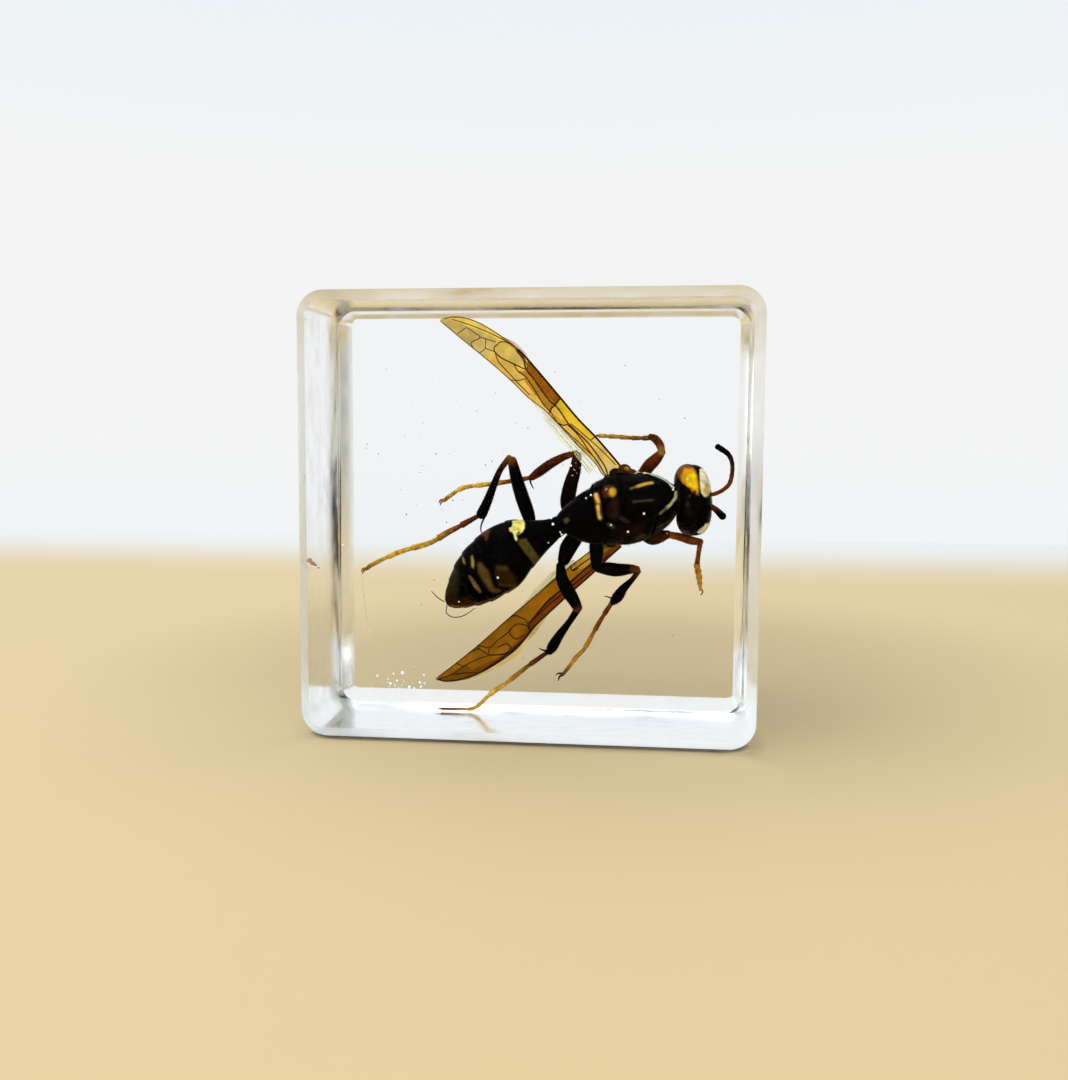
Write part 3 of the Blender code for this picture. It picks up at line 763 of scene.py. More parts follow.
abdomenShape = dict(
    origin=(-2.3, 0.0, 14.95), heading=33.3, roll=18.0, stations=230, around=150,
    # along, upward shift, radius, depth in the block
    line=[(7.5, 0.15, 0.5, 0.4), (7.1, 0.2, 0.78, 0.45), (6.4, 0.42, 0.9, 0.55), (5.8, 0.48, 0.98, 0.6),
          (5.2, 0.53, 1.12, 0.6), (4.5, 0.65, 1.38, 0.55), (3.9, 0.77, 1.63, 0.5), (3.2, 0.92, 1.98, 0.45),
          (2.5, 1.03, 2.32, 0.4), (1.7, 1.02, 2.6, 0.38), (1.07, 0.94, 2.76, 0.36), (0.4, 0.85, 2.9, 0.35),
          (-0.3, 0.77, 3.0, 0.35), (-1.42, 0.7, 2.95, 0.38), (-2.3, 0.62, 2.83, 0.42), (-3.2, 0.53, 2.64, 0.5),
          (-4.0, 0.45, 2.36, 0.58), (-4.75, 0.35, 2.0, 0.66), (-5.5, 0.22, 1.58, 0.74),
          (-6.05, 0.12, 1.23, 0.8), (-6.5, 0.05, 0.84, 0.85), (-6.85, 0.0, 0.4, 0.9)],
    # hind rims of the plates, each a step down to the next, how they bow on the back and where a step ends
    rims=[1.9, -1.4, -3.1, -4.5, -5.6], step=0.09, bow=0.25, stepEnd=(0.06, 1.3),
    stalk=(3.5, 6.0), stalkFlat=0.22,  # the stalk is flatter than it is wide
    patches=[
        dict(outline=[(-1.83, 19.05), (-1.26, 19.12), (-0.78, 19.06), (-0.66, 18.4), (-0.97, 17.97),
                      (-1.33, 17.9),
                      (-1.53, 18.18), (-1.7, 18.3), (-1.86, 18.1), (-1.98, 18.22), (-2.04, 18.43),
                      (-1.81, 18.6)],
             colour=(1.0, 0.88, 0.22), soft=0.05),
        dict(outline=[(-1.19, 17.18), (-0.94, 17.43), (-0.52, 17.5), (-0.2, 17.1), (0.32, 16.34), (0.72, 15.57),
                      (0.27, 15.05), (-0.14, 15.68), (-0.7, 16.5)], colour=(0.105, 0.078, 0.014), soft=0.1),
        dict(outline=[(-4.75, 17.76), (-3.95, 18.2), (-3.95, 17.62), (-4.15, 17.3), (-4.32, 17.6)],
             colour=(0.12, 0.04, 0.006), soft=0.14),
        dict(outline=[(-4.86, 15.19), (-4.56, 15.3), (-4.15, 14.88), (-3.8, 14.43), (-3.6, 13.71),
                      (-3.3, 12.95), (-2.85, 12.75), (-3.0, 12.5), (-3.68, 12.6), (-4.2, 13.45), (-4.7, 14.32)],
             colour=(0.10, 0.06, 0.012), soft=0.2),
        dict(outline=[(-3.17, 14.88), (-2.47, 14.89), (-1.65, 14.29), (-1.28, 13.51), (-1.71, 13.14),
                      (-2.54, 13.1), (-2.94, 13.41), (-3.14, 13.86)], colour=(0.034, 0.012, 0.003), soft=0.3),
        dict(outline=[(-3.1, 15.0), (-2.38, 15.05), (-2.0, 14.72), (-2.66, 14.72)], colour=(0.07, 0.045, 0.01),
             soft=0.2),
        dict(outline=[(-2.9, 13.2), (-1.75, 13.05), (-1.35, 13.45), (-1.8, 13.3), (-2.6, 13.35)],
             colour=(0.06, 0.04, 0.01), soft=0.16),
        dict(outline=[(-5.53, 15.82), (-5.29, 15.8), (-5.17, 14.9), (-5.4, 14.9)], colour=(0.36, 0.25, 0.06),
             soft=0.1),
        dict(outline=[(-6.44, 15.64), (-6.23, 15.6), (-6.05, 15.15), (-6.29, 15.18)],
             colour=(0.26, 0.17, 0.045), soft=0.1),
        dict(outline=[(-5.69, 13.98), (-5.45, 13.95), (-4.95, 13.35), (-4.56, 12.63), (-4.78, 12.5),
                      (-5.25, 13.13)],
             colour=(0.20, 0.115, 0.04), soft=0.1),
        dict(outline=[(-7.86, 13.46), (-7.43, 14.4), (-6.87, 14.3), (-6.67, 13.2), (-7.0, 12.2), (-7.8, 12.1)],
             colour=(0.022, 0.016, 0.003), soft=0.5),
        dict(outline=[(-8.1, 12.0), (-7.02, 11.85), (-5.57, 11.85), (-5.3, 11.1), (-6.75, 10.7), (-7.8, 10.9)],
             colour=(0.030, 0.010, 0.003), soft=0.4),
    ],
    marks=[
        dict(line=[(-1.83, -1.5, 18.32), (-1.52, -1.76, 17.98), (-1.33, -1.98, 17.45)], width=0.12,
             colour=(0.95, 0.80, 0.34)),
        dict(line=[(-1.12, -1.62, 18.05), (-1.3, -1.7, 17.75)], width=0.1, colour=black),
        dict(line=[(-7.49, 0.15, 10.98), (-6.33, -0.15, 10.95), (-5.16, -0.49, 11.2), (-3.83, -0.76, 11.66),
                   (-2.56, -0.47, 12.25), (-1.5, -0.71, 12.95)], width=0.16, colour=(0.20, 0.075, 0.016),
             soft=0.6),
    ],
)


def buildAbdomen():
    look = abdomenShape
    origin, forward, left, back, upward = bodyAxes(look["origin"], look["heading"], look["roll"])
    line = smoothRows(look["line"], 10)[::-1]
    along = np.linspace(line[0, 0], line[-1, 0], look["stations"])
    shift, radius, depth = (np.interp(along, line[:, 0], line[:, i]) for i in (1, 2, 3))
    angle = np.linspace(0, 2 * math.pi, look["around"], endpoint=False)
    t, turn = np.repeat(along, len(angle)), np.tile(angle, len(along))
    shift, radius, depth = (np.repeat(value, len(angle)) for value in (shift, radius, depth))
    waist = 1 - look["stalkFlat"] * smoothStep(t, *look["stalk"])
    near, far = look["stepEnd"]
    for rim in look["rims"]:
        past = rim - t + look["bow"] * np.cos(turn)
        radius = radius - look["step"] * smoothStep(past, 0.0, near) * (1 - smoothStep(past, near, far))
    local = np.column_stack([t, radius * np.sin(turn), radius * np.cos(turn) * waist])
    centre = shift[:, None] * upward + depth[:, None] * np.array((0.0, 1.0, 0.0))
    ends = np.array([(line[0, 0] - 0.12, 0.0, 0.0), (line[-1, 0] + 0.1, 0.0, 0.0)])
    places = outOf((origin, forward, left, back), np.vstack([local, ends]))
    places[:-2] += centre
    places[-2] += np.array((0.0, 1.0, 0.0)) * 0.92
    places[-1] += upward * 0.15 + np.array((0.0, 1.0, 0.0)) * 0.4
    tint = paint(places, patched(places, np.tile(black, (len(places), 1)), look["patches"]), look["marks"])
    waspPiece(solidPiece("abdomen", places, ringFaces(len(along), len(angle)), waspShell, tint))


buildAbdomen()
print("thorax, head and abdomen are built")

dark = (0.0018, 0.0010, 0.0009)
brown = (0.09, 0.02, 0.006)
amber = (0.48, 0.22, 0.025)
ochre = (0.72, 0.42, 0.05)
allDark = [(0.0, dark), (1.0, dark)]

legShape = dict(sides=22, segments=1, waist=1.0, spacing=0.07, swell=1.0, lines=[
    # upper fore leg
    ([(10.5, 2.8, 21.2, 0.56), (10.1, 2.5, 22.3, 0.6), (9.8, 2.3, 23.2, 0.51)], allDark),
    ([(10.0, 2.2, 23.4, 0.51), (10.6, 1.7, 24.2, 0.58), (11.2, 1.2, 24.8, 0.51), (11.6, 0.8, 25.3, 0.37)],
     [(0.0, (0.03, 0.006, 0.002)), (0.5, (0.11, 0.02, 0.004)), (0.85, (0.15, 0.03, 0.005)),
      (1.0, (0.5, 0.24, 0.03))]),
    ([(11.7, 0.8, 25.4, 0.32), (11.5, 1.4, 26.1, 0.37), (11.1, 2.1, 26.6, 0.37), (10.7, 2.6, 26.8, 0.3)],
     [(0.0, (0.45, 0.2, 0.03)), (0.3, (0.12, 0.03, 0.007)), (0.6, (0.07, 0.014, 0.004)),
      (1.0, (0.10, 0.028, 0.007))]),
    # upper mid leg
    ([(5.9, 3.0, 19.4, 0.65), (4.6, 2.9, 19.4, 0.65), (3.3, 2.7, 19.8, 0.56)], allDark),
    ([(3.1, 2.6, 19.8, 0.51), (3.1, 2.3, 20.9, 0.69), (3.4, 1.9, 22.4, 0.65), (3.8, 1.4, 23.7, 0.55),
      (4.0, 1.0, 25.0, 0.41)], [(0.0, dark), (0.6, (0.008, 0.002, 0.0012)), (0.9, (0.03, 0.008, 0.003)),
                                (1.0, (0.12, 0.03, 0.006))]),
    ([(3.9, 1.0, 25.3, 0.25), (2.7, 1.6, 24.9, 0.35), (1.4, 2.3, 24.2, 0.44), (0.4, 2.9, 23.5, 0.44),
      (-0.3, 3.3, 23.0, 0.33)], [(0.0, (0.16, 0.05, 0.01)), (0.25, (0.09, 0.018, 0.004)),
                                 (0.7, (0.06, 0.01, 0.003)), (1.0, (0.11, 0.022, 0.005))]),
    # upper hind leg
    ([(4.2, 1.6, 18.9, 0.8), (1.6, 2.7, 18.5, 0.62), (-0.1, 2.9, 18.4, 0.51)], allDark),
    ([(-0.3, 2.8, 18.4, 0.46), (-0.6, 2.5, 19.6, 0.63), (-1.1, 2.1, 21.1, 0.65), (-1.6, 1.7, 22.8, 0.58),
      (-2.0, 1.3, 24.5, 0.44)], [(0.0, dark), (0.88, dark), (1.0, (0.22, 0.075, 0.012))]),
    ([(-2.3, 1.2, 24.8, 0.28), (-3.2, 1.8, 23.6, 0.28), (-3.9, 2.6, 22.1, 0.35), (-4.5, 3.3, 20.7, 0.44),
      (-5.1, 3.9, 19.5, 0.52)], [(0.0, (0.26, 0.09, 0.015)), (0.12, (0.07, 0.016, 0.004)), (0.35, dark),
                                 (1.0, dark)]),
    # lower fore leg
    ([(9.8, 1.6, 18.3, 0.55), (10.8, 1.5, 17.6, 0.64), (11.5, 1.4, 17.7, 0.64), (12.3, 1.4, 17.9, 0.41)],
     [(0.0, (0.01, 0.004, 0.002)), (0.5, (0.035, 0.010, 0.004)), (1.0, (0.10, 0.026, 0.006))]),
    ([(12.4, 1.4, 17.9, 0.3), (13.5, 1.3, 17.7, 0.37), (14.5, 1.2, 17.4, 0.39), (15.3, 1.2, 17.3, 0.3)],
     [(0.0, (0.42, 0.14, 0.016)), (0.35, (0.2, 0.045, 0.008)), (1.0, (0.2, 0.045, 0.009))]),
    ([(15.3, 1.3, 17.2, 0.25), (15.2, 1.8, 16.2, 0.21), (15.1, 2.3, 15.2, 0.23)],
     [(0.0, (0.24, 0.065, 0.01)), (1.0, (0.17, 0.045, 0.009))]),
    # lower mid leg
    ([(5.8, 0.6, 17.5, 0.59), (5.9, 0.2, 16.3, 0.64), (5.9, -0.1, 15.0, 0.46)], allDark),
    ([(6.1, -0.2, 14.8, 0.41), (6.8, -0.3, 14.8, 0.59), (7.8, -0.4, 14.7, 0.61), (9.0, -0.5, 14.8, 0.45),
      (9.6, -0.5, 14.8, 0.32)], [(0.0, dark), (0.75, dark), (1.0, (0.2, 0.06, 0.012))]),
    ([(9.7, -0.4, 14.6, 0.27), (9.2, 0.2, 13.8, 0.25), (8.4, 0.9, 12.9, 0.39), (7.9, 1.4, 12.1, 0.51),
      (7.5, 1.8, 11.6, 0.37)], [(0.0, brown), (0.3, dark), (1.0, dark)]),
    # lower hind leg
    ([(4.0, 1.2, 17.7, 0.74), (3.3, 0.9, 16.6, 0.78), (2.9, 0.6, 15.5, 0.59)], allDark),
    ([(2.6, 0.4, 14.9, 0.41), (2.8, 0.3, 13.6, 0.59), (3.4, 0.2, 12.5, 0.64), (3.9, 0.2, 11.7, 0.55),
      (4.2, 0.2, 11.1, 0.46)], [(0.0, dark), (0.85, dark), (1.0, (0.14, 0.035, 0.008))]),
    ([(4.2, 0.3, 10.9, 0.34), (3.4, 1.2, 9.6, 0.3), (2.5, 2.1, 8.3, 0.42), (1.8, 2.8, 7.1, 0.51),
      (1.5, 3.1, 6.6, 0.37)], [(0.0, (0.05, 0.015, 0.006)), (0.15, dark), (1.0, dark)]),
])
footShape = dict(sides=12, segments=5, waist=0.66, spacing=0.04, swell=1.14, lines=[
    ([(10.7, 2.6, 26.8, 0.26), (10.4, 2.7, 26.7, 0.22), (9.0, 3.0, 26.7, 0.2), (7.7, 3.2, 26.8, 0.2),
      (6.0, 3.4, 26.9, 0.19)], [(0.0, (0.14, 0.04, 0.008)), (0.4, (0.3, 0.11, 0.016)), (1.0, ochre)]),
    ([(-0.3, 3.3, 23.0, 0.26), (-0.7, 3.4, 22.9, 0.22), (-3.0, 3.9, 22.5, 0.22), (-5.2, 4.2, 22.2, 0.22),
      (-7.0, 4.5, 21.9, 0.21), (-8.3, 4.7, 21.1, 0.2), (-8.8, 4.8, 20.7, 0.16)],
     [(0.0, (0.2, 0.05, 0.01)), (0.3, (0.34, 0.12, 0.016)), (0.45, ochre), (0.8, ochre),
      (1.0, (0.3, 0.12, 0.02))]),
    ([(-5.1, 3.9, 19.5, 0.3), (-5.6, 4.0, 19.2, 0.24), (-7.2, 4.4, 18.3, 0.28), (-8.7, 4.7, 17.5, 0.29),
      (-10.2, 5.0, 16.6, 0.27), (-12.8, 5.3, 15.8, 0.25), (-14.5, 5.5, 15.1, 0.22), (-16.1, 5.7, 14.3, 0.2),
      (-16.6, 5.8, 13.9, 0.14)],
     [(0.0, (0.06, 0.014, 0.004)), (0.2, (0.16, 0.035, 0.008)), (0.38, amber), (0.5, ochre), (0.85, ochre),
      (1.0, (0.2, 0.07, 0.012))]),
    ([(15.1, 2.3, 15.2, 0.26), (15.1, 2.4, 15.0, 0.28), (15.3, 2.8, 14.1, 0.28), (15.5, 3.3, 12.8, 0.16)],
     [(0.0, (0.4, 0.16, 0.02)), (1.0, (0.6, 0.3, 0.035))]),
    ([(7.5, 1.8, 11.6, 0.3), (7.3, 1.9, 11.4, 0.23), (6.4, 2.5, 9.9, 0.22), (5.7, 3.0, 8.6, 0.22),
      (4.8, 3.5, 6.9, 0.22), (4.0, 3.8, 6.0, 0.21), (3.3, 4.1, 5.0, 0.2), (2.7, 4.3, 4.2, 0.14)],
     [(0.0, (0.12, 0.03, 0.007)), (0.36, (0.26, 0.07, 0.012)), (0.48, amber), (0.85, (0.46, 0.22, 0.03)),
      (1.0, (0.04, 0.012, 0.005))]),
    ([(1.5, 3.1, 6.6, 0.3), (1.2, 3.2, 6.4, 0.23), (-0.6, 4.0, 5.0, 0.22), (-2.6, 4.9, 3.3, 0.22),
      (-4.4, 5.7, 1.9, 0.22), (-5.9, 6.1, 0.47, 0.17), (-7.6, 6.1, 0.28, 0.14), (-9.2, 6.1, 0.25, 0.11)],
     [(0.0, (0.03, 0.008, 0.003)), (0.18, (0.12, 0.03, 0.007)), (0.36, amber), (0.5, ochre), (0.72, ochre),
      (0.84, (0.4, 0.17, 0.025)), (1.0, (0.12, 0.035, 0.008))]),
])
spurDark, spurAmber = [(0.0, dark), (1.0, brown)], [(0.0, amber), (1.0, (0.1, 0.03, 0.008))]
bristleShade = [(0.0, (0.03, 0.022, 0.010)), (1.0, (0.05, 0.04, 0.02))]
# spurs under the shins and claws at the feet
spurShape = dict(sides=7, segments=1, waist=1.0, spacing=0.08, swell=1.0, lines=[
    ([(-0.5, 3.2, 22.9, 0.1), (-0.4, 3.3, 22.4, 0.08), (-0.1, 3.3, 21.9, 0.03)], spurDark),
    ([(-4.8, 3.6, 19.2, 0.1), (-5.1, 3.6, 18.5, 0.08), (-5.15, 3.6, 17.9, 0.06), (-4.95, 3.6, 17.5, 0.03)],
     spurDark),
    ([(1.3, 2.7, 6.7, 0.1), (0.9, 2.6, 6.75, 0.08), (0.45, 2.6, 6.95, 0.03)], spurDark),
    ([(7.6, 1.4, 11.8, 0.09), (7.1, 1.4, 12.0, 0.07), (6.6, 1.4, 12.1, 0.03)], spurDark),
    ([(-8.7, 4.8, 20.8, 0.11), (-9.1, 4.7, 20.5, 0.09), (-9.2, 4.6, 20.2, 0.03)], spurAmber),
    ([(-8.7, 4.8, 20.8, 0.11), (-9.2, 5.0, 20.7, 0.09), (-9.4, 5.1, 20.4, 0.03)], spurAmber),
    ([(-16.5, 5.8, 14.0, 0.11), (-16.9, 5.7, 13.7, 0.09), (-17.0, 5.6, 13.4, 0.03)], spurAmber),
    ([(-16.5, 5.8, 14.0, 0.11), (-17.0, 6.0, 13.9, 0.09), (-17.2, 6.1, 13.6, 0.03)], spurAmber),
    ([(15.5, 3.3, 12.9, 0.11), (15.7, 3.2, 12.5, 0.08), (15.5, 3.1, 12.2, 0.03)], spurAmber),
    ([(2.8, 4.3, 4.3, 0.12), (2.4, 4.2, 4.0, 0.1), (2.3, 4.1, 3.6, 0.03)], spurDark),
    ([(2.8, 4.3, 4.3, 0.12), (2.3, 4.5, 4.3, 0.09), (2.0, 4.6, 4.1, 0.03)], spurDark),
    ([(-9.1, 6.1, 0.25, 0.08), (-9.5, 6.0, 0.27, 0.06), (-9.8, 5.9, 0.2, 0.03)], spurAmber),
    ([(6.2, 3.3, 26.9, 0.1), (5.7, 3.3, 26.9, 0.09), (5.4, 3.2, 26.7, 0.03)], spurAmber),
    # two bristles at the tail
    ([(-8.3, 0.9, 11.3, 0.045), (-8.9, 0.7, 11.7, 0.045), (-9.5, 0.5, 12.35, 0.03)], bristleShade),
    ([(-8.0, 0.9, 11.2, 0.045), (-8.1, 0.8, 10.3, 0.045), (-7.4, 0.6, 9.9, 0.045), (-6.4, 0.5, 10.1, 0.045),
      (-5.3, 0.4, 10.85, 0.03)], bristleShade),
])
feelerShape = dict(sides=14, segments=12, waist=0.86, spacing=0.04, swell=1.0, lines=[
    ([(15.9, -0.5, 21.6, 0.2), (16.5, -0.8, 21.75, 0.2), (17.15, -1.1, 22.1, 0.2), (17.7, -1.2, 22.7, 0.21),
      (17.9, -1.2, 23.7, 0.2), (17.85, -1.1, 24.6, 0.21), (17.5, -0.8, 25.3, 0.25), (16.65, -0.5, 25.9, 0.29)],
     [(0.0, (0.2, 0.04, 0.008)), (0.45, (0.12, 0.024, 0.006)), (0.7, (0.02, 0.006, 0.003)), (0.8, dark),
      (1.0, dark)]),
    ([(16.0, -0.5, 20.7, 0.22), (16.5, -2.0, 20.35, 0.28), (17.0, -4.0, 19.85, 0.34)],
     [(0.0, (0.18, 0.035, 0.007)), (0.5, (0.08, 0.018, 0.005)), (0.8, dark), (1.0, dark)]),
])


def buildLimbs():
    shapes = (("legs", legShape), ("feet", footShape), ("feelers", feelerShape), ("spurs", spurShape))
    for name, shape in shapes:
        swell = shape["swell"]
        lines = [([(*row[:3], row[3] * swell) for row in rows], stops) for rows, stops in shape["lines"]]
        limb = strandPiece(name, lines, legShell, shape["sides"], shape["spacing"], shape["segments"],
                           shape["waist"])
        waspPiece(limb)


buildLimbs()
print("legs and feelers are built")

wingLook = dict(thickness=0.05, steps=(230, 40), hindSteps=(70, 14), camber=0.10, camberPitch=0.16,
                # ripples of the film: pitch across and along, and where they start
                ripple=0.03, ripples=[(4.2, 0.35, 0.0), (2.3, 0.0, -0.8)],
                veinSides=8, veinSpacing=0.12, filmVein=0.028,
                filmVeinShade=[(0.0, (0.62, 0.55, 0.30)), (1.0, (0.75, 0.70, 0.45))])
upperWing = dict(
    root=(7.58, 0.2, 23.77), along=(-0.766, -0.038, 0.641), lead=(0.642, 0.0, 0.767), base=(0.88, 0.57, 0.10),
    veinDark=(0.03, 0.009, 0.002), veinPale=(0.26, 0.09, 0.008), veinSize=0.95,
    leadEdge=[(-0.5, 0.5), (0.3, 0.62), (1.9, 0.9), (3.6, 1.14), (5.6, 1.34), (8.1, 1.74), (10.7, 2.18),
              (12.6, 2.5),
              (13.8, 2.65), (15.1, 2.58), (16.5, 2.42), (18.0, 2.15), (19.3, 1.67), (20.2, 1.06), (20.95, 0.2)],
    trailEdge=[(-0.5, -0.7), (0.6, -1.12), (1.8, -0.8), (3.9, -0.56), (6.2, -0.3), (8.4, -0.1), (10.4, -0.2),
               (12.2, -0.05), (14.7, 0.01), (17.0, -0.03), (19.1, -0.08), (20.95, -0.1)],
    cells=[  # outline, colour
        ([(15.6, 0.0), (15.6, 1.6), (16.2, 2.3), (18.0, 1.4), (20.2, 0.75), (21.2, 0.2), (21.2, -0.4),
          (15.5, -0.4)],
         (0.70, 0.52, 0.16)),
        ([(14.6, 2.8), (15.4, 2.2), (17.2, 1.7), (18.8, 1.15), (20.3, 0.6), (21.2, 0.8), (19.0, 2.6)],
         (0.95, 0.70, 0.13)),
        ([(15.6, 1.55), (15.3, 1.02), (14.4, 1.01), (13.3, 1.3), (12.2, 1.6), (12.1, 1.89), (13.0, 2.31),
          (14.0, 2.51), (15.0, 2.4), (15.5, 1.99)], (0.76, 0.55, 0.12)),
        ([(12.0, 1.7), (12.8, 2.6), (8.0, 1.8), (8.0, 0.9), (9.7, 1.1), (11.0, 1.45)], (0.36, 0.11, 0.005)),
        ([(12.0, 1.65), (11.0, 1.4), (9.7, 1.05), (8.1, 0.85), (8.0, 0.2), (10.4, 0.5), (11.7, 0.8),
          (12.6, 1.0)],
         (0.52, 0.25, 0.02)),
        ([(8.0, 1.75), (8.0, 0.9), (6.2, 0.5), (3.4, 0.6), (3.4, 1.3), (5.6, 1.4)], (0.98, 0.65, 0.03)),
        ([(3.4, 0.3), (3.4, 1.3), (-0.6, 0.8), (-0.6, 0.0)], (0.90, 0.62, 0.16)),
        ([(7.9, 0.15), (6.1, 0.35), (6.8, -0.25), (8.0, -0.1)], (0.78, 0.45, 0.03)),
        ([(12.3, 0.0), (12.9, 0.4), (12.4, 1.0), (11.6, 1.1), (11.7, 0.5)], (0.82, 0.57, 0.13)),
        ([(2.6, -1.2), (2.4, -0.1), (-0.6, 0.2), (-0.6, -1.3)], (0.86, 0.66, 0.22)),
    ],
    veins=[  # line, radius, how pale
        ([(-0.4, 0.45), (0.3, 0.6), (1.9, 0.86), (3.6, 1.1), (5.6, 1.28), (8.1, 1.7), (10.7, 2.13),
          (12.6, 2.42), (13.8, 2.53)], 0.1, 0.0),
        ([(13.8, 2.53), (15.1, 2.5), (16.5, 2.36), (18.0, 2.1), (19.3, 1.62), (20.2, 1.02), (20.8, 0.3)],
         0.045, 0.6),
        ([(13.9, 2.4), (12.9, 2.17), (12.1, 1.66), (11.0, 1.44), (9.7, 1.09), (8.6, 0.87), (8.0, 0.89)], 0.09,
         0.35),
        ([(8.0, 0.89), (8.1, 1.66)], 0.075, 0.15),
        ([(8.0, 0.89), (7.3, 0.77), (6.1, 0.42), (4.8, 0.32), (3.3, 0.19), (1.1, -0.36), (0.3, -0.81)], 0.075,
         0.4),
        ([(6.0, 0.28), (4.7, 0.18), (3.2, -0.2), (1.7, -0.57), (0.3, -1.0)], 0.06, 0.4),
        ([(8.0, 0.19), (6.8, -0.17), (5.2, -0.26), (3.8, -0.3), (2.0, -0.46), (0.6, -0.91)], 0.05, 0.5),
        ([(6.8, -0.17), (6.3, -0.02), (6.0, 0.37)], 0.065, 0.2),
        ([(3.5, 0.6), (3.4, 1.16)], 0.06, 0.2),
        ([(5.9, 0.53), (4.5, 0.55), (2.3, 0.51), (0.3, 0.34)], 0.05, 0.5),
        ([(15.55, 1.7), (15.6, 1.3), (15.3, 1.02), (14.4, 1.01), (13.3, 1.3), (12.2, 1.6), (12.1, 1.8)], 0.065,
         0.45),
        ([(12.1, 1.75), (12.2, 1.95), (13.0, 2.31), (14.0, 2.48), (15.0, 2.38), (15.5, 1.99), (15.55, 1.7)],
         0.055, 0.5),
        ([(15.3, 1.02), (14.5, 0.57), (13.7, 0.45), (13.0, 0.38), (12.1, 0.26), (10.4, 0.1)], 0.05, 0.6),
        ([(20.2, 0.74), (18.6, 1.41), (16.7, 2.02), (15.1, 2.42)], 0.045, 0.55),
        ([(18.7, 1.05), (19.0, 0.0)], 0.045, 0.5),
        ([(18.7, 1.03), (17.2, 1.17), (17.5, 0.3), (17.0, 0.0)], 0.045, 0.5),
        ([(17.2, 1.17), (15.8, 1.76)], 0.045, 0.6),
        ([(16.7, 1.38), (16.2, 0.71), (16.3, 0.07)], 0.045, 0.5),
        ([(16.2, 0.71), (15.3, 1.02)], 0.045, 0.6),
        ([(13.3, 1.3), (12.6, 1.06), (11.7, 1.11), (10.4, 0.76), (8.8, 0.25), (8.0, 0.19)], 0.06, 0.4),
        ([(8.0, 0.89), (8.1, 0.5), (8.0, 0.19), (8.0, 0.0)], 0.08, 0.2),
        ([(12.6, 0.0), (11.9, 0.56), (11.6, 1.08)], 0.045, 0.6),
        ([(-0.4, -0.6), (0.6, -1.08), (1.8, -0.76), (3.9, -0.54), (6.2, -0.28), (8.4, -0.08), (10.4, -0.16),
          (12.2, -0.02), (14.7, 0.04), (17.0, 0.0), (19.1, -0.04), (20.7, -0.04)], 0.045, 0.7),
    ],
    film=dict(lead=[(1.6, -0.2), (4.0, -0.3), (7.0, -0.1), (10.1, -0.1)],
              trail=[(1.6, -1.9), (2.3, -1.75),
                     (4.0, -1.25), (5.1, -1.33), (6.5, -1.05), (8.2, -0.66), (10.1, -0.16)],
              colour=(0.95, 0.93, 0.76), below=0.16),
    filmVeins=[[(1.7, -1.55), (3.4, -1.2), (5.4, -0.95), (7.6, -0.55)],
               [(1.7, -1.1), (3.6, -0.85), (6.2, -0.55)],
               [(1.8, -1.8), (2.6, -1.6), (3.9, -1.3)], [(3.0, -0.75), (5.0, -0.5), (8.6, -0.3)]],
    rim=dict(lead=[(12.4, 2.5), (13.4, 2.78), (14.4, 2.84), (15.2, 2.66), (15.8, 2.45)],
             trail=[(12.4, 2.35),
                    (15.8, 2.35)], colour=(0.80, 0.70, 0.66), below=0.1),
)
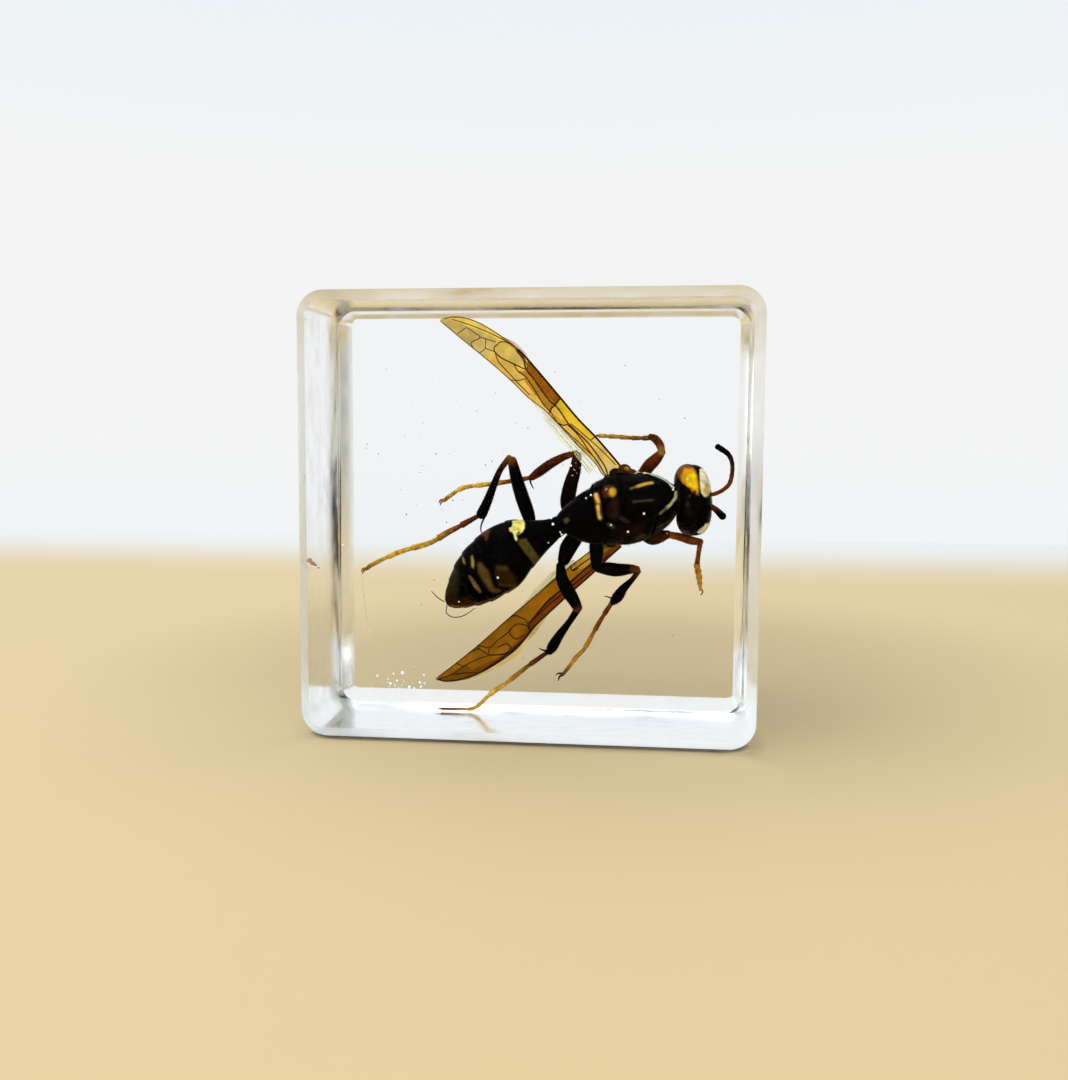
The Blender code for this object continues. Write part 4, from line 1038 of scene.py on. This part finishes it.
lowerWing = dict(
    root=(6.91, 1.6, 16.84), along=(-0.771, 0.067, -0.633), lead=(0.635, 0.0, -0.773),
    base=(0.42, 0.195, 0.012), veinDark=(0.02, 0.005, 0.002), veinPale=(0.09, 0.022, 0.004), veinSize=1.1,
    leadEdge=[(-0.9, 0.93), (0.9, 1.03), (2.7, 1.23), (5.2, 1.37), (7.6, 1.55), (10.0, 1.75), (11.5, 2.1),
              (13.1, 2.38), (15.1, 2.33), (17.0, 2.08), (18.8, 1.58), (20.3, 0.72), (21.05, -0.02)],
    trailEdge=[(-0.9, -0.6), (0.8, -0.7), (2.0, -0.62), (4.1, -0.66), (6.0, -0.63), (8.5, -0.5), (11.5, -0.42),
               (15.5, -0.2), (18.5, -0.17), (21.05, -0.2)],
    cells=[
        ([(-1, 1.2), (-1, 0.3), (4.5, 0.6), (7.7, 0.72), (10.7, 1.3), (10.9, 1.9), (7.6, 1.6), (3.0, 1.4)],
         (0.25, 0.062, 0.005)),
        ([(10.6, 1.3), (11.5, 1.7), (13.2, 1.9), (15.4, 1.8), (18.0, 1.3), (20.4, 0.9), (19.0, 2.0),
          (15.0, 2.6), (11.2, 2.2)], (0.28, 0.10, 0.006)),
        ([(13.4, 1.6), (14.3, 1.15), (15.4, 1.2), (14.6, 1.75), (13.7, 2.05)], (0.40, 0.20, 0.02)),
        ([(11.6, -0.4), (11.1, -0.1), (10.6, 0.7), (10.8, 1.1), (11.6, 0.5), (13.8, 0.5), (15.6, -0.2)],
         (0.40, 0.19, 0.012)),
        ([(17.8, 0.55), (19.8, 0.35), (21.3, -0.1), (21.3, 0.4), (19.4, 1.4), (17.6, 1.2)],
         (0.25, 0.125, 0.012)),
        ([(2.4, -0.9), (4.2, -0.9), (4.0, -0.1), (3.2, 0.3), (1.2, 0.3), (1.0, -0.8)], (0.64, 0.38, 0.04)),
        ([(10.5, -0.5), (10.2, 1.0), (7.7, 0.55), (4.5, 0.45), (4.3, -0.7)], (0.42, 0.195, 0.011)),
    ],
    veins=[
        ([(1.0, 0.42), (2.5, 0.42), (4.5, 0.52), (6.2, 0.6), (7.7, 0.64), (9.4, 0.97), (10.7, 1.24)], 0.085,
         0.25),
        ([(10.7, 1.24), (10.8, 1.73), (11.5, 2.0), (12.9, 2.12), (14.1, 2.14), (15.4, 2.12), (17.2, 1.93)],
         0.075, 0.3),
        ([(-0.8, 0.86), (0.9, 0.97), (2.7, 1.17), (5.2, 1.31), (7.6, 1.49), (10.0, 1.7), (11.5, 2.04),
          (13.1, 2.32), (15.1, 2.27), (17.0, 2.02), (18.8, 1.52), (20.3, 0.68), (20.9, 0.0)], 0.075, 0.1),
        ([(0.4, 0.74), (2.4, 0.86), (4.6, 0.92), (6.7, 0.92), (8.8, 1.02), (10.4, 1.21)], 0.06, 0.2),
        ([(11.5, -0.4), (11.0, -0.12), (10.5, 0.76), (10.7, 1.24)], 0.05, 0.35),
        ([(10.7, 1.24), (11.3, 0.59), (12.0, 0.49), (12.7, 0.64), (13.8, 0.61), (14.9, 0.66), (15.7, -0.18)],
         0.05, 0.35),
        ([(14.3, 1.13), (13.5, 1.3), (13.3, 1.6), (13.35, 1.96), (13.9, 2.08), (14.7, 1.72), (15.5, 1.14)],
         0.055, 0.2),
        ([(15.7, -0.2), (15.8, 0.22), (15.5, 1.14), (16.5, 0.85), (17.8, 0.59), (19.7, 0.39), (20.8, 0.0)],
         0.048, 0.4),
        ([(16.9, -0.18), (15.75, 0.1)], 0.045, 0.4),
        ([(18.5, -0.15), (18.1, 0.49), (17.8, 0.59)], 0.045, 0.4),
        ([(12.0, 0.49), (12.5, 0.79), (12.4, 1.58), (11.6, 1.75)], 0.05, 0.35),
        ([(15.5, 1.14), (14.9, 0.66)], 0.045, 0.4),
        ([(3.9, -0.66), (4.1, -0.2), (3.5, 0.01)], 0.06, 0.2),
        ([(4.1, -0.2), (2.6, -0.1), (1.0, 0.0)], 0.05, 0.4),
        ([(17.2, 1.9), (18.6, 1.0), (19.6, 0.4)], 0.045, 0.4),
        ([(-0.8, -0.56), (0.8, -0.66), (2.0, -0.58), (4.1, -0.62), (6.0, -0.59), (8.5, -0.46), (11.5, -0.38),
          (15.5, -0.16), (18.5, -0.13), (20.8, -0.16)], 0.045, 0.3),
    ],
    film=dict(lead=[(3.4, -0.4), (7.0, -0.4), (10.4, -0.36)],
              trail=[(3.4, -0.9), (4.6, -1.3), (5.4, -1.28),
                     (7.3, -1.1), (8.8, -0.8), (10.4, -0.42)], colour=(0.92, 0.90, 0.76), below=0.16),
    filmVeins=[[(3.8, -0.75), (5.4, -1.0), (7.4, -0.85)], [(4.6, -0.6), (7.0, -0.65), (9.4, -0.5)]],
    rim=dict(lead=[(8.6, 1.7), (10.4, 2.25), (12.3, 2.64), (13.2, 2.89), (14.2, 2.87), (15.5, 2.69),
                   (17.0, 2.32), (18.4, 1.9), (19.4, 1.3)],
             trail=[(8.6, 1.55), (13.0, 2.2), (16.0, 2.1), (19.4, 1.2)],
             colour=(0.88, 0.74, 0.42), below=0.1),
)


def wingHeight(flat, below):  # how far the film stands off its plane, towards the viewer
    look = wingLook
    bow = look["camber"] * np.sin(flat[:, 0] * look["camberPitch"])
    fold = sum(np.sin(flat[:, 1] * a + flat[:, 0] * b + start) for a, b, start in look["ripples"])
    return bow + look["ripple"] * fold - below


def wingPlaces(shape, flat, lift):
    along, lead = np.array(shape["along"]), np.array(shape["lead"])
    viewer = np.cross(along, lead)
    viewer *= -np.sign(viewer[1])
    return np.array(shape["root"]) + flat[:, :1] * along + flat[:, 1:2] * lead + lift[:, None] * viewer


def filmSheet(shape, lead, trail, below, colour, size, cells=()):
    lead, trail = smoothRows(lead, 8), smoothRows(trail, 8)
    steps, across = size
    start, end = max(lead[0, 0], trail[0, 0]), min(lead[-1, 0], trail[-1, 0])
    along = np.linspace(start, end, steps)
    front, rear = np.interp(along, lead[:, 0], lead[:, 1]), np.interp(along, trail[:, 0], trail[:, 1])
    share = 0.5 - 0.5 * np.cos(np.linspace(0, math.pi, across))
    share = 0.5 * share + 0.5 * np.linspace(0, 1, across)  # rows stand closer at the edges
    both = np.concatenate([share, share[::-1]])
    half = wingLook["thickness"] / 2 * np.sqrt(np.clip(4 * both * (1 - both), 0.02, 1))
    half[across:] *= -1
    reach = (rear[:, None] + (front - rear)[:, None] * both).ravel()
    flat = np.column_stack([np.repeat(along, len(both)), reach])
    ends = [(start - 0.02, (front[0] + rear[0]) / 2), (end + 0.02, (front[-1] + rear[-1]) / 2)]
    flat = np.vstack([flat, ends])
    lift = wingHeight(flat, below) + np.append(np.tile(half, steps), (0, 0))
    tint = np.tile(np.array(colour), (len(flat), 1))
    for outline, shade in cells:
        tint[inside(flat, outline)] = shade
    return wingPlaces(shape, flat, lift), ringFaces(steps, len(both)), tint


def veinRows(shape, line, below, radius):
    flat = smoothRows(line, 3)
    return np.column_stack([wingPlaces(shape, flat, wingHeight(flat, below)), np.full(len(flat), radius)])


def buildWing(name, shape):
    edges = shape["leadEdge"], shape["trailEdge"]
    places, faces, tint = filmSheet(shape, *edges, 0.0, shape["base"], wingLook["steps"], shape["cells"])
    waspPiece(solidPiece(name + "Film", places, faces, wingFilm, tint))
    for part, label in (("film", "HindFilm"), ("rim", "HindRim")):
        more = shape[part]
        places, faces, tint = filmSheet(shape, more["lead"], more["trail"], more["below"], more["colour"],
                                        wingLook["hindSteps"])
        waspPiece(solidPiece(name + label, places, faces, wingFilm, tint))
    lines = []
    for line, radius, paleness in shape["veins"]:
        shade = tuple(np.array(shape["veinDark"]) * (1 - paleness) + np.array(shape["veinPale"]) * paleness)
        lines.append((veinRows(shape, line, 0.0, shape["veinSize"] * radius), [(0.0, shade), (1.0, shade)]))
    for line in shape["filmVeins"]:
        rows = veinRows(shape, line, shape["film"]["below"], wingLook["filmVein"])
        lines.append((rows, wingLook["filmVeinShade"]))
    waspPiece(strandPiece(name + "Veins", lines, wingVein, wingLook["veinSides"], wingLook["veinSpacing"]))


buildWing("upperWing", upperWing)
buildWing("lowerWing", lowerWing)
print("wings are built")


def beads(name, rows, material, steps):  # rows of a place, three radii and a colour
    places, tints, faces = [], [], []
    for at, radii, colour in rows:
        bead, beadFaces = ovalPoints(at, radii, steps, steps + 4)
        faces += [tuple(i + sum(map(len, places)) for i in face) for face in beadFaces]
        tints.append(paint(bead, colour, []))
        places.append(bead)
    return solidPiece(name, np.vstack(places), faces, material, np.vstack(tints))


wingRootShape = dict(steps=20, beads=[  # place, radii and colour
    ((8.35, -0.2, 23.75), (0.62, 0.55, 0.58), (0.07, 0.022, 0.006)),
    # the tegula's gold centre: partly its own colour, partly a painted highlight on its dark dome
    ((8.5, -0.56, 23.86), (0.3, 0.2, 0.24), (0.45, 0.2, 0.025)),
    ((8.95, -0.1, 23.5), (0.55, 0.6, 0.4), (0.10, 0.03, 0.01)),
    ((7.5, 0.2, 23.4), (0.55, 0.5, 0.55), (0.02, 0.008, 0.004)),
    ((6.9, 0.4, 22.9), (0.5, 0.5, 0.45), (0.012, 0.005, 0.003)),
    ((7.2, 1.2, 17.1), (0.6, 0.6, 0.5), (0.06, 0.02, 0.007)),
    ((6.6, 1.5, 16.9), (0.5, 0.5, 0.4), (0.30, 0.16, 0.03)),
])
waspPiece(beads("wingRoots", wingRootShape["beads"], waspShell, wingRootShape["steps"]))

hairShape = dict(
    ragged=0.35, shortest=0.45, longest=1.2,
    # piece, what it grows on, hairs per square millimetre, length, thickness, lean, seed and colour
    coats=[("thoraxHairs", "thorax", 9.0, 0.22, 0.009, (-0.5, 0.0, -0.1), 3, (0.02, 0.012, 0.006)),
           ("headHairs", "head", 8.0, 0.16, 0.009, (-0.3, 0.0, 0.0), 5, (0.02, 0.012, 0.006)),
           ("abdomenHairs", "abdomen", 8.0, 0.15, 0.008, (-0.9, 0.0, -0.6), 7, (0.015, 0.009, 0.005)),
           ("legHairs", "legs", 22.0, 0.18, 0.009, (-0.2, 0.0, -0.5), 9, (0.02, 0.01, 0.005)),
           ("footHairs", "feet", 34.0, 0.13, 0.009, (-0.7, 0.0, -0.3), 11, (0.22, 0.10, 0.02))],
)


def hairTree():
    look = hairShape
    tree, given = newTree("hairs", [("Density", "Float", 1.0), ("Length", "Float", 0.3 * mm),
                                    ("Thickness", "Float", 0.012 * mm), ("Lean", "Vector", (0.0, 0.0, 0.0)),
                                    ("Seed", "Int", 1)])
    roots = addNode(tree, "GeometryNodeDistributePointsOnFaces",
                    {"Mesh": given["Geometry"], "Density": given["Density"], "Seed": given["Seed"]})
    reach = {"Min": (-look["ragged"],) * 3, "Max": (look["ragged"],) * 3, "Seed": given["Seed"]}
    jitter = addNode(tree, "FunctionNodeRandomValue", reach, data_type="FLOAT_VECTOR")
    lean = addNode(tree, "ShaderNodeVectorMath", {0: roots.outputs["Normal"], 1: given["Lean"]})
    way = addNode(tree, "ShaderNodeVectorMath", {0: lean.outputs["Vector"], 1: jitter.outputs["Value"]})
    turn = addNode(tree, "FunctionNodeAlignRotationToVector", {"Vector": way.outputs["Vector"]}, axis="Z")
    cone = addNode(tree, "GeometryNodeMeshCone",
                   {"Vertices": 4, "Radius Top": 0.0, "Radius Bottom": 1.0, "Depth": 1.0})
    size = addNode(tree, "ShaderNodeCombineXYZ",
                   {"X": given["Thickness"], "Y": given["Thickness"], "Z": given["Length"]})
    vary = addNode(tree, "FunctionNodeRandomValue",
                   {2: look["shortest"], 3: look["longest"], "Seed": given["Seed"]})
    scaled = {0: size.outputs["Vector"], "Scale": vary.outputs[1]}
    scaled = addNode(tree, "ShaderNodeVectorMath", scaled, operation="SCALE")
    coat = addNode(tree, "GeometryNodeInstanceOnPoints",
                   {"Points": roots.outputs["Points"], "Instance": cone.outputs["Mesh"],
                    "Rotation": turn.outputs["Rotation"], "Scale": scaled.outputs["Vector"]})
    return finishTree(tree, coat.outputs["Instances"], given["Material"])


hairs = hairTree()


def growHairs(name, source, density, length, thickness, lean, seed, colour):
    host = link(bpy.data.objects.new(name, bpy.data.objects[source].data.copy()))
    host = growTree(host, hairs, {"Density": density * 1e6, "Length": length * mm, "Thickness": thickness * mm,
                                  "Lean": lean, "Seed": seed, "Material": hairShell})
    for old in list(host.data.color_attributes):
        host.data.color_attributes.remove(old)
    tint = host.data.color_attributes.new("tint", "FLOAT_COLOR", "POINT")
    tint.data.foreach_set("color", np.tile((*colour, 1.0), len(host.data.vertices)))
    waspPiece(host)


for coat in hairShape["coats"]:
    growHairs(*coat)
print("hairs are grown")

airLook = dict(scale=900.0, dim=(0.86, 0.87, 0.86, 1), bright=(1, 1, 0.98, 1), roughness=0.15, glass=0.1,
               glow=(1.0, 1.0, 0.95, 1), glowStrength=0.3)  # a painted glow for the light a bubble gathers from all round


def airMaterial():
    look = airLook
    material, tree, shader = newMaterial("trappedAir")
    place = addNode(tree, "ShaderNodeTexCoord")
    cloud = addNode(tree, "ShaderNodeTexNoise", {"Vector": place.outputs["Object"], "Scale": look["scale"]})
    ramp = addNode(tree, "ShaderNodeValToRGB", {0: cloud.outputs["Fac"]})
    ramp.color_ramp.elements[0].color, ramp.color_ramp.elements[1].color = look["dim"], look["bright"]
    tree.links.new(ramp.outputs[0], shader.inputs["Base Color"])
    shader.inputs["Roughness"].default_value = look["roughness"]
    shader.inputs["Transmission Weight"].default_value = look["glass"]
    # painted glow: the bubbles shine though they are no lamp
    shader.inputs["Emission Color"].default_value = look["glow"]
    shader.inputs["Emission Strength"].default_value = look["glowStrength"]
    return material


bubbleShape = dict(
    steps=8, colour=(1.0, 1.0, 1.0), lowest=0.5,
    single=[  # place and radius
        (10.16, -3.2, 19.97, 0.1), (12.72, -1.1, 22.08, 0.1), (5.41, -2.25, 21.54, 0.09),
        (4.96, -2.0, 21.26, 0.08), (8.77, -2.62, 18.31, 0.1), (7.25, -2.9, 18.9, 0.08),
        (1.9, -0.25, 18.79, 0.12), (-2.95, -2.48, 13.95, 0.1), (-6.75, -0.6, 11.48, 0.07),
        (-18.2, 2.0, 16.44, 0.09), (-15.44, 5.0, 3.49, 0.11), (-14.15, 5.0, 2.78, 0.13),
        (-13.49, 5.0, 3.07, 0.11), (-12.96, 5.0, 3.88, 0.17), (-13.82, 5.0, 3.75, 0.1),
        (-12.28, 5.0, 2.51, 0.13), (-11.78, 5.0, 2.37, 0.1), (-11.24, 5.0, 2.96, 0.12),
        (-10.83, 5.0, 3.72, 0.1), (-11.13, 5.0, 2.54, 0.12), (-10.75, 5.0, 2.87, 0.1)],
    clouds=[  # count, centre, reach, smallest and largest radius
        (26, (-14.5, 5.0, 2.6), (2.2, 2.0, 0.35), 0.025, 0.085),
        (10, (-12.5, 5.0, 3.2), (1.6, 1.0, 0.5), 0.025, 0.06),
        (12, (3.9, 0.4, 24.6), (0.35, 0.3, 0.8), 0.03, 0.1),
        (9, (3.3, -0.6, 18.0), (0.9, 0.5, 0.9), 0.04, 0.11),
        (6, (1.5, 0.2, 17.2), (0.5, 0.5, 0.5), 0.04, 0.1),
        (7, (13.0, -0.4, 18.5), (0.8, 0.4, 0.4), 0.03, 0.08)],
)
dustShape = dict(
    steps=6, smallest=0.02, cloudSmallest=0.025, spread=0.05,
    count=70, low=(-15, -5, 6), high=(14, 8, 34), colour=(0.12, 0.11, 0.10),
    # more of it at the upper left of the insect
    cloudCount=40, cloudAt=(-8, 3, 24), cloudReach=(4.5, 3, 3.5), deepest=9.5, cloudColour=(0.10, 0.10, 0.12),
)
fleckShape = dict(  # a tan smear under the left wall
    steps=8, thickness=0.12, colour=(0.54, 0.33, 0.21),
    smears=[((-19.1, -9.0, 15.7), 0.26, 0.2), ((-18.85, -9.0, 15.45), 0.24, 0.16),
            # place, half width, half height
            ((-18.6, -9.0, 15.3), 0.2, 0.1), ((-18.3, -9.0, 15.05), 0.12, 0.06)],
)
pourShape = dict(  # a fine line left by the second pour
    sides=8, spacing=0.15, shade=[(0.0, (1.0, 0.88, 0.62)), (1.0, (1.0, 0.86, 0.60))],
    line=[(-17.41, 8.0, 13.12, 0.015), (-17.37, 8.0, 11.63, 0.03), (-17.13, 8.0, 9.64, 0.035),
          (-16.88, 8.0, 7.84, 0.03), (-16.38, 8.0, 6.15, 0.015)],
)
scatter = np.random.default_rng(12)


def buildBubbles():
    look = bubbleShape
    rows = [((x, y, z), (r, r, r), look["colour"]) for x, y, z, r in look["single"]]
    for count, centre, reach, smallest, largest in look["clouds"]:
        for _ in range(count):
            x, y, z = np.array(centre) + scatter.normal(size=3) * np.array(reach)
            r = smallest + (largest - smallest) * scatter.random() ** 2
            rows.append(((x, y, max(z, look["lowest"])), (r, r, r), look["colour"]))
    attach(beads("bubbles", rows, airMaterial(), look["steps"]), "root")


def buildDust():
    look = dustShape
    rows = []
    for _ in range(look["count"]):
        place = scatter.uniform(look["low"], look["high"])
        r = look["smallest"] + look["spread"] * scatter.random() ** 2
        rows.append((tuple(place), (r, r, r * scatter.uniform(0.5, 1.0)), look["colour"]))
    for _ in range(look["cloudCount"]):
        x, y, z = scatter.normal(look["cloudAt"], look["cloudReach"])
        r = look["cloudSmallest"] + look["spread"] * scatter.random() ** 2
        rows.append(((x, min(y, look["deepest"]), z), (r, r, r), look["cloudColour"]))
    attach(beads("dust", rows, dustShell, look["steps"]), "root")


def buildFleck():
    look = fleckShape
    rows = [(place, (wide, look["thickness"], high), look["colour"]) for place, wide, high in look["smears"]]
    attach(beads("tanFleck", rows, dustShell, look["steps"]), "root")


def buildPourLine():
    look = pourShape
    lines = [(look["line"], look["shade"])]
    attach(strandPiece("pourLine", lines, dustShell, look["sides"], look["spacing"]), "root")


buildBubbles()
buildDust()
buildFleck()
buildPourLine()
print("bubbles and dust are in the resin")
